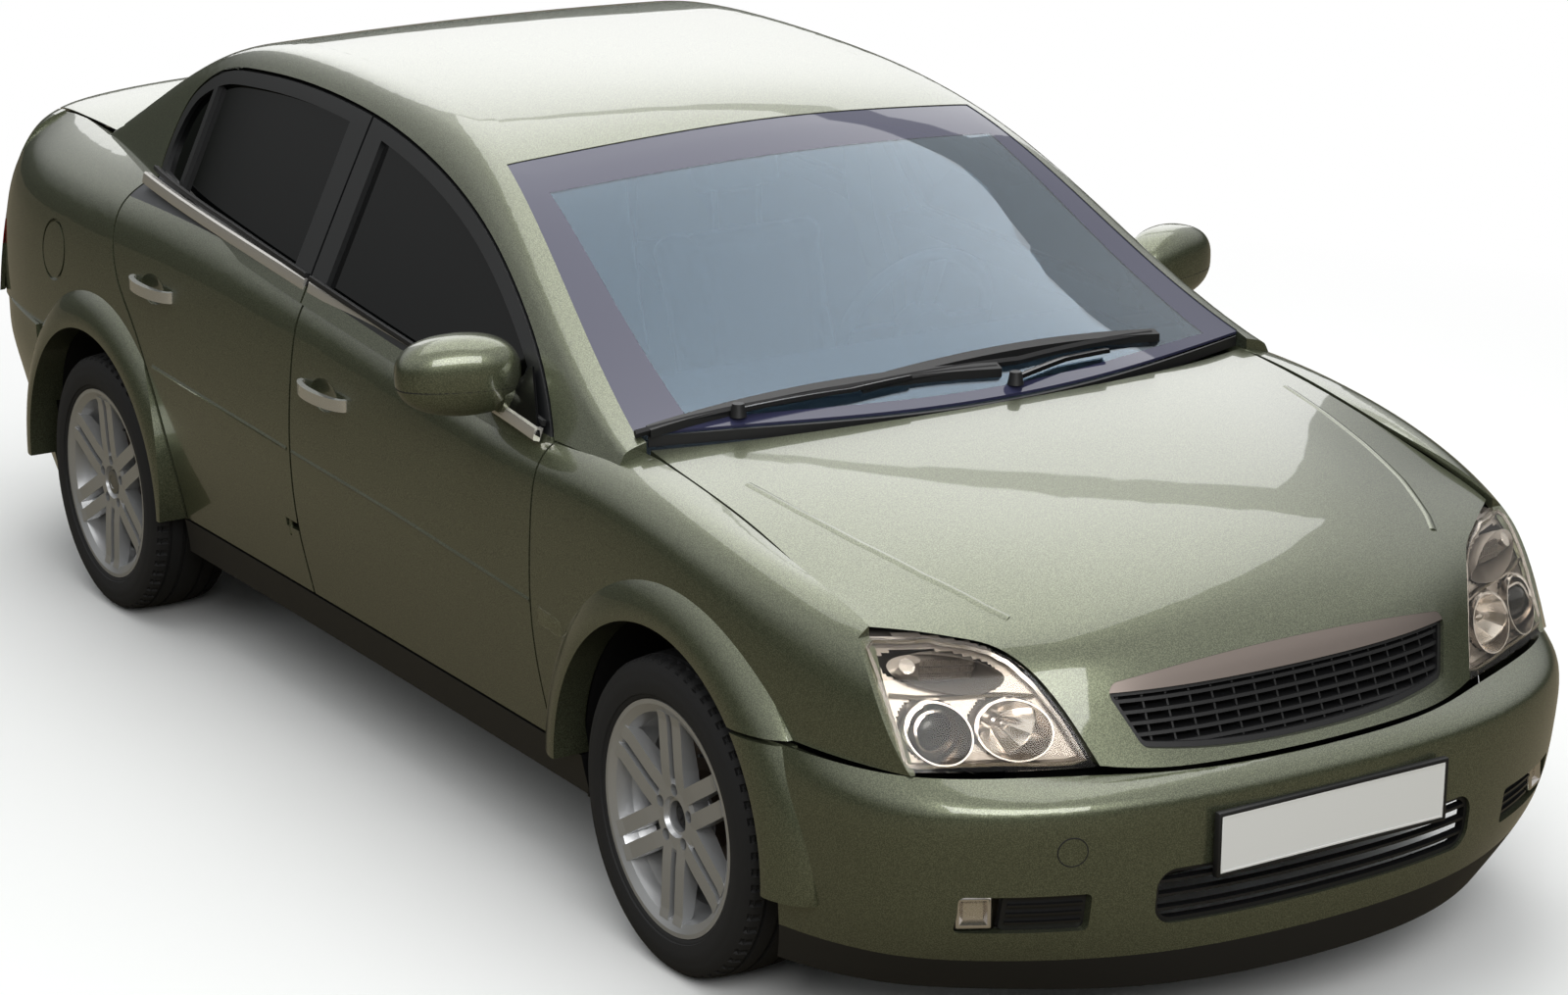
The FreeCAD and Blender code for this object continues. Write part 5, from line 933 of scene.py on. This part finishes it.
def makeWipers():
    for number, spots in enumerate(wiperSettings["arms"]):
        stations, ups = screenLine(spots, wiperSettings["armLift"])

        def buildArm(shape):
            sweepAlong(shape, stations, ups, ((-0.008, -0.004), (0.008, -0.004), (0.006, 0.004), (-0.006, 0.004)))

        def buildSpindle(shape):
            addRod(shape, 0.017, 0.012, 0.026, 24, Matrix.Translation(stations[0]))
        makePiece("wiperArm_%d" % number, glossBlack, "car_body", buildArm)
        makePiece("wiperSpindle_%d" % number, blackPlastic, "car_body", buildSpindle)
    for number, spots in enumerate(wiperSettings["blades"]):
        stations, ups = screenLine(spots, wiperSettings["bladeLift"])

        def buildBlade(shape):
            sweepAlong(shape, stations, ups, ((-0.004, -0.007), (0.004, -0.007), (0.009, 0.003), (0.003, 0.010),
                                              (-0.007, 0.003)))
        makePiece("wiperBlade_%d" % number, sealRubber, "car_body", buildBlade)


# Mirrors: painted shell with a seam round it, an arm to the door, and the glass in its rim
mirrorSettings = {"centre": (0.8885, -0.6122, 1.0263), "sweep": 20, "cut": 0.034, "half": (0.128, 0.068, 0.083),
                  "squareness": 0.78, "droop": 0.10, "seam": -0.022, "seamHeight": 0.0028, "rimIn": (0.94, 1, 0.90),
                  "glassDepth": 0.010, "armSquareness": 0.6, "armHalf": (0.030, 0.034),
                  "armPath": ((-0.075, -0.020, -0.044), (-0.098, -0.012, -0.050), (-0.122, -0.004, -0.056),
                              (-0.150, 0.004, -0.062))}


def mirrorMatrix(side):
    turn = Matrix.Rotation(math.radians(mirrorSettings["sweep"]), 4, "Z")
    matrix = Matrix.Translation(mirrorSettings["centre"]) @ turn
    return matrix if side == "left" else mirrorX @ matrix


# pushes a point of a circle or ball out towards a square one
def squareOut(values, power):
    return [math.copysign(abs(value) ** power, value) for value in values]


def buildMirrorShell(shape):
    mirror = mirrorSettings
    bmesh.ops.create_uvsphere(shape, u_segments=56, v_segments=32, radius=1.0)
    for vert in shape.verts:
        x, y, z = [a * b for a, b in zip(squareOut(vert.co, mirror["squareness"]), mirror["half"])]
        vert.co = Vector((x, y, z * (1.0 - mirror["droop"] * max(0.0, x / mirror["half"][0]))))
    whole = shape.verts[:] + shape.edges[:] + shape.faces[:]
    cut = bmesh.ops.bisect_plane(shape, geom=whole, plane_co=(0, mirror["cut"], 0), plane_no=(0, 1, 0),
                                 clear_outer=True)
    rim = [item for item in cut["geom_cut"] if isinstance(item, bmesh.types.BMEdge)]
    inner = bmesh.ops.extrude_edge_only(shape, edges=rim)
    ring = partsOf(inner, bmesh.types.BMVert)
    bmesh.ops.scale(shape, verts=ring, vec=mirror["rimIn"])
    edges = [edge for edge in partsOf(inner, bmesh.types.BMEdge) if all(vert in ring for vert in edge.verts)]
    deep = bmesh.ops.extrude_edge_only(shape, edges=edges)
    floor = partsOf(deep, bmesh.types.BMVert)
    bmesh.ops.translate(shape, verts=floor, vec=(0, -mirror["glassDepth"], 0))
    bottom = [edge for edge in partsOf(deep, bmesh.types.BMEdge) if all(vert in floor for vert in edge.verts)]
    bmesh.ops.contextual_create(shape, geom=bottom)


def buildMirrorSeam(shape):
    mirror = mirrorSettings
    half, power = mirror["half"], mirror["squareness"]
    bmesh.ops.create_circle(shape, segments=72, radius=1.0)
    reach = (1 - (abs(mirror["seam"]) / half[2]) ** (2 / power)) ** (power / 2)
    for vert in shape.verts:
        x, y = squareOut(vert.co.xy, power)
        vert.co = Vector((x * half[0] * reach, y * half[1] * reach, mirror["seam"]))
    behind = [vert for vert in shape.verts if vert.co.y > mirror["cut"] - 0.004]
    bmesh.ops.delete(shape, geom=behind, context="VERTS")
    lifted = bmesh.ops.extrude_edge_only(shape, edges=shape.edges[:])
    bmesh.ops.translate(shape, verts=partsOf(lifted, bmesh.types.BMVert), vec=(0, 0, mirror["seamHeight"]))
    bmesh.ops.solidify(shape, geom=shape.faces[:], thickness=0.0012)


def buildMirrorArm(shape):
    stations = [Vector(spot) for spot in mirrorSettings["armPath"]]
    wide, high = mirrorSettings["armHalf"]
    outline = []
    for k in range(28):
        turn = 2 * math.pi * k / 28
        across, up = squareOut((math.cos(turn), math.sin(turn)), mirrorSettings["armSquareness"])
        outline.append((wide * across, high * up))
    sweepAlong(shape, stations, [Vector((0, -1, 0))] * len(stations), outline)


def buildMirrorGlass(shape):
    mirror = mirrorSettings
    half = mirror["half"]
    bmesh.ops.create_circle(shape, cap_ends=True, segments=64, radius=1.0)
    for vert in shape.verts:
        x, z = squareOut(vert.co.xy, mirror["squareness"])
        droop = 1 - mirror["droop"] * max(0, x)
        vert.co = Vector((x * half[0] * 0.80, mirror["cut"] - 0.005, z * half[2] * 0.76 * droop))
    bmesh.ops.inset_region(shape, faces=shape.faces[:], thickness=0.003, depth=0.0012, use_even_offset=True)
    bmesh.ops.solidify(shape, geom=shape.faces[:], thickness=0.003)


# black triangle that closes the front corner of the side window, leaning in with the glass
sailSettings = {"corners": ((-0.832, 0.938), (-0.628, 0.948), (-0.712, 1.048)), "base": -0.815, "level": 0.960,
                "lean": 0.5, "thick": 0.006}


def buildSail(shape):
    sail = sailSettings
    corners = [shape.verts.new((sail["base"] + sail["lean"] * (z - sail["level"]), y, z)) for y, z in sail["corners"]]
    bmesh.ops.contextual_create(shape, geom=closeLoop(shape, corners))
    bmesh.ops.inset_region(shape, faces=shape.faces[:], thickness=0.006, depth=0.003, use_even_offset=True)
    bmesh.ops.solidify(shape, geom=shape.faces[:], thickness=sail["thick"])


def makeMirrors():
    for side in ("left", "right"):
        body = "front_door_" + side
        place = (mirrorMatrix(side),)
        shell = makePiece("mirrorShell_" + side, paint, body, buildMirrorShell, place)
        arm = makePiece("mirrorArm_" + side, paint, body, buildMirrorArm, place)
        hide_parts("mirror_" + side)
        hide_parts("mirror_" + side)
        makePiece("mirrorSeam_" + side, sealRubber, body, buildMirrorSeam, place)
        makePiece("mirrorGlass_" + side, mirrorGlass, body, buildMirrorGlass, place)
        flip = (Matrix(),) if side == "right" else (mirrorX,)
        makePiece("mirrorSail_" + side, glossBlack, body, buildSail, flip)


# Side repeaters: small clear lenses on the wings
repeaterSettings = {"size": (0.008, 0.094, 0.036), "bevel": 0.0038, "lean": 4, "place": (-0.945, 0.594)}


def buildRepeater(shape):
    roundedBlock(shape, repeaterSettings["size"], repeaterSettings["bevel"], 3)
    turnShape(shape, repeaterSettings["lean"], "X")


def makeRepeaters():
    y, z = repeaterSettings["place"]
    place = Matrix.Translation(surfacePoint(["wing_right"], (-1.6, y, z), (1, 0, 0))[0])
    makePiece("sideRepeaters", clearLens, "car_body", buildRepeater, (place, mirrorX @ place))


# Tow eye cover: a thin ring line in the front bumper
towSettings = {"place": (-0.523, 0.4535),
               "ring": ((-0.0010, 0.0262), (0.0006, 0.0268), (0.0006, 0.0284), (-0.0010, 0.0290))}


def makeTowCover():
    x, z = towSettings["place"]
    spots, ups = seatLine(["front_bumper"], [(x, -4.0, z)], (0, 1, 0))

    def build(shape):
        spinAbout(shape, towSettings["ring"], 48, closed=True)
        turn = ups[0].to_track_quat("X", "Z").to_matrix().to_4x4()
        bmesh.ops.transform(shape, verts=shape.verts, matrix=Matrix.Translation(spots[0]) @ turn)
    makePiece("towCoverSeam", sealRubber, "car_body", build)


# Seats: padded cushions blown up by cloth simulation, with two sewn channels along each
padSettings = {"spare": 0.03, "roundness": 0.28, "voxel": 0.014, "pressure": 4.0, "frames": 15,
               "seamShare": 0.27, "seamHalf": 0.008, "seamDepth": 0.006}
seatSettings = {
    "frontBase": {"size": (0.50, 0.52, 0.15), "place": (0.370, -0.070, 0.400), "lean": 0, "cap": 0.022},
    "frontBack": {"size": (0.49, 0.13, 0.62), "place": (0.370, 0.300, 0.720), "lean": -18, "cap": 0.022},
    "frontHead": {"size": (0.26, 0.10, 0.16), "place": (0.370, 0.385, 1.130), "lean": -10, "cap": 0.012},
    "benchBase": {"size": (1.10, 0.40, 0.13), "place": (0.0, 0.960, 0.415), "lean": 0, "cap": 0.022},
    "benchBack": {"size": (1.10, 0.12, 0.54), "place": (0.0, 1.120, 0.720), "lean": -14, "cap": 0.018},
}


# lets the cloth swell, holding each point within the cap of where it started
def blowUp(mesh, cap):
    start = [vert.co.copy() for vert in mesh.vertices]
    pad = linkObject("padTrial", mesh)
    swell = pad.modifiers.new("swell", "CLOTH")
    swell.settings.use_pressure = True
    swell.settings.uniform_pressure_force = padSettings["pressure"]
    swell.settings.effector_weights.gravity = 0.0
    for frameNumber in range(1, padSettings["frames"] + 1):
        bpy.context.scene.frame_set(frameNumber)
    shown = pad.evaluated_get(bpy.context.evaluated_depsgraph_get())
    ends = [vert.co.copy() for vert in shown.data.vertices]
    bpy.context.scene.frame_set(1)
    pad.modifiers.clear()
    for vert, first, last in zip(mesh.vertices, start, ends):
        move = last - first
        if move.length > cap:
            move = move * (cap / move.length)
        vert.co = first + move
    bpy.data.objects.remove(pad)


def buildPad(name):
    pad = seatSettings[name]
    shape = bmesh.new()
    roundedBlock(shape, [side - padSettings["spare"] for side in pad["size"]],
                 min(pad["size"]) * padSettings["roundness"], 3)
    mesh = bpy.data.meshes.new(name + "Form")
    shape.to_mesh(mesh)
    shape.free()
    form = linkObject(name + "Form", mesh)
    remesh = form.modifiers.new("even", "REMESH")
    remesh.mode = "VOXEL"
    remesh.voxel_size = padSettings["voxel"]
    shown = form.evaluated_get(bpy.context.evaluated_depsgraph_get())
    even = bpy.data.meshes.new_from_object(shown)
    bpy.data.objects.remove(form)
    blowUp(even, pad["cap"])
    return even


def makeSeats():
    for name, pad in seatSettings.items():
        even = buildPad(name)
        turn = Matrix.Translation(pad["place"]) @ Matrix.Rotation(math.radians(pad["lean"]), 4, "X")
        sides = (("left", Matrix()), ("right", mirrorX)) if name.startswith("front") else (("", Matrix()),)
        for side, flip in sides:
            def build(shape):
                shape.from_mesh(even)
                seam = pad["size"][0] * padSettings["seamShare"]
                grooves = [vert for vert in shape.verts if abs(abs(vert.co.x) - seam) < padSettings["seamHalf"]]
                for vert in grooves:
                    vert.co -= vert.normal * padSettings["seamDepth"]
            piece = makePiece("seatPad_" + name + side, cloth, "car_body", build, (flip @ turn,), 60)
            smooth = piece.modifiers.new("round", "SUBSURF")
            smooth.levels = 1
            smooth.render_levels = 1
            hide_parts("seats")


# Steel under and over the front seats: headrest posts and floor rails
seatFrame = {"middle": 0.370, "postApart": 0.06, "postRadius": 0.006, "postLength": 0.22, "postPlace": (0.372, 1.02),
             "railApart": 0.18, "railSize": (0.045, 0.46, 0.070), "railPlace": (-0.06, 0.295)}


def buildSeatPosts(shape):
    y, z = seatFrame["postPlace"]
    for x in (-seatFrame["postApart"], seatFrame["postApart"]):
        addRod(shape, seatFrame["postRadius"], seatFrame["postRadius"], seatFrame["postLength"], 16,
               Matrix.Translation((seatFrame["middle"] + x, y, z)))


def buildSeatRails(shape):
    y, z = seatFrame["railPlace"]
    for x in (-seatFrame["railApart"], seatFrame["railApart"]):
        addBlock(shape, seatFrame["railSize"], (seatFrame["middle"] + x, y, z))


def makeSeatFrames():
    makePiece("headrestPosts", zincSteel, "car_body", buildSeatPosts, bothSides)
    makePiece("seatRails", blackSteel, "car_body", buildSeatRails, bothSides)


makeTyres()
makeWheelHardware()
print("wheels dressed")
makeHeadlamps()
makeFogLamps()
print("headlamps filled")
makeBeltStrips()
makeCreases()
makeBonnetCreases()
makePlates()
makeBootBar()
makeWipers()
makeMirrors()
makeRepeaters()
makeTowCover()
print("trims seated")
makeSeats()
makeSeatFrames()
print("cabin furnished")


# Camera where the photographer stood, solved from the car's known sizes
cameraSettings = {"place": (-4.5495, -7.6933, 3.1321), "turn": 32.03, "tilt": -16.59, "roll": -0.31, "lens": 94.2}


def makeCamera():
    data = bpy.data.cameras.new("camera")
    data.lens = cameraSettings["lens"]
    data.sensor_width = 36.0
    data.clip_end = 200.0
    camera = linkObject("camera", data)
    turn = Matrix.Rotation(math.radians(-cameraSettings["turn"]), 4, "Z")
    tilt = Matrix.Rotation(math.radians(90 + cameraSettings["tilt"]), 4, "X")
    roll = Matrix.Rotation(math.radians(cameraSettings["roll"]), 4, "Z")
    camera.matrix_world = Matrix.Translation(cameraSettings["place"]) @ turn @ tilt @ roll
    bpy.context.scene.camera = camera


floorSettings = {"size": 60.0, "colour": "#F4F4F2", "bounce": "#7C7462", "drop": 0.001, "fadeFrom": 2.6,
                 "fadeTo": 5.0}


def makeFloor():
    shape = bmesh.new()
    bmesh.ops.create_grid(shape, x_segments=1, y_segments=1, size=floorSettings["size"] / 2)
    bmesh.ops.translate(shape, verts=shape.verts, vec=(0, 0, -floorSettings["drop"]))
    mesh = bpy.data.meshes.new("studioFloor")
    shape.to_mesh(mesh)
    shape.free()
    floor = linkObject("studioFloor", mesh)
    mesh.materials.append(floorPaper())


def floorPaper():
    # matt studio paper that fades into the white backdrop away from the car
    material, tree, output = startMaterial("studioFloorPaper")
    place = addNode(tree, "TexCoord")
    reach = addNode(tree, "VectorMath", {0: place.outputs["Object"]}, operation="LENGTH")
    fade = addNode(tree, "MapRange", {"Value": reach.outputs["Value"], "From Min": floorSettings["fadeFrom"],
                                      "From Max": floorSettings["fadeTo"]})
    rays = addNode(tree, "LightPath")
    # the eye sees pale paper, while the car's sides get back the little that dark paving returns
    tone = addNode(tree, "MixRGB", {"Fac": rays.outputs["Is Camera Ray"], "Color1": toLinear(floorSettings["bounce"]),
                                    "Color2": toLinear(floorSettings["colour"])})
    paper = addNode(tree, "BsdfDiffuse", {"Color": tone.outputs["Color"]})
    white = addNode(tree, "Emission", {"Color": toLinear("#FFFFFF"), "Strength": 1.0})
    seen = addNode(tree, "Math", {0: rays.outputs["Is Camera Ray"], 1: fade.outputs["Result"]}, operation="MULTIPLY")
    mix = addNode(tree, "MixShader", {"Fac": seen.outputs["Value"], 1: paper.outputs["BSDF"],
                                      2: white.outputs["Emission"]})
    tree.links.new(mix.outputs["Shader"], output.inputs["Surface"])
    return material


# Studio: soft light from overhead, a card behind the roof and a key light in front
lightSettings = {
    "overhead": {"place": (0.5, 0.5, 5.2), "aim": (0, 0, 0.6), "size": (5.0, 7.0), "power": 190},
    "backCard": {"place": (5.0, 8.5, 4.8), "aim": (0, 0, 0.8), "size": (9.0, 5.5), "power": 215},
    "key": {"place": (-3.0, -7.5, 4.6), "aim": (0, -0.8, 0.6), "size": (5.0, 3.0), "power": 300},
}
worldSettings = {"sky": "#EDF0F2", "horizon": "#3A3D38", "strength": 0.75, "glossFrom": 0.10, "glossTo": 0.62}


def makeLights():
    for name, lamp in lightSettings.items():
        data = bpy.data.lights.new(name, "AREA")
        data.shape = "RECTANGLE"
        data.size, data.size_y = lamp["size"]
        data.energy = lamp["power"]
        light = linkObject(name, data)
        aim = Vector(lamp["aim"]) - Vector(lamp["place"])
        light.matrix_world = Matrix.Translation(lamp["place"]) @ aim.to_track_quat("-Z", "Y").to_matrix().to_4x4()
    world = bpy.data.worlds.new("studio")
    bpy.context.scene.world = world
    world.use_nodes = True
    tree = world.node_tree
    tree.nodes.clear()
    way = addNode(tree, "TexCoord")
    split = addNode(tree, "SeparateXYZ", {"Vector": way.outputs["Generated"]})
    rise = addNode(tree, "MapRange", {"Value": split.outputs["Z"], "From Min": worldSettings["glossFrom"],
                                      "From Max": worldSettings["glossTo"]})
    tone = addNode(tree, "MixRGB", {"Fac": rise.outputs["Result"], "Color1": toLinear(worldSettings["horizon"]),
                                    "Color2": toLinear(worldSettings["sky"])})
    rays = addNode(tree, "LightPath")
    glossy = addNode(tree, "Math", {0: rays.outputs["Is Glossy Ray"], 1: rise.outputs["Result"]}, operation="MULTIPLY")
    direct = addNode(tree, "Math", {0: rays.outputs["Is Camera Ray"], 1: rays.outputs["Is Transmission Ray"]},
                     operation="MAXIMUM")
    seen = addNode(tree, "Math", {0: direct.outputs["Value"], 1: glossy.outputs["Value"]}, operation="MAXIMUM")
    soft = addNode(tree, "Background", {"Color": tone.outputs["Color"], "Strength": worldSettings["strength"]})
    white = addNode(tree, "Background", {"Color": toLinear("#FFFFFF"), "Strength": 1.0})
    mix = addNode(tree, "MixShader", {"Fac": seen.outputs["Value"], 1: soft.outputs["Background"],
                                      2: white.outputs["Background"]})
    addNode(tree, "OutputWorld", {"Surface": mix.outputs["Shader"]})
    bpy.context.scene.view_settings.view_transform = "Standard"


makeCamera()
makeFloor()
makeLights()
print("camera, floor and lights set")
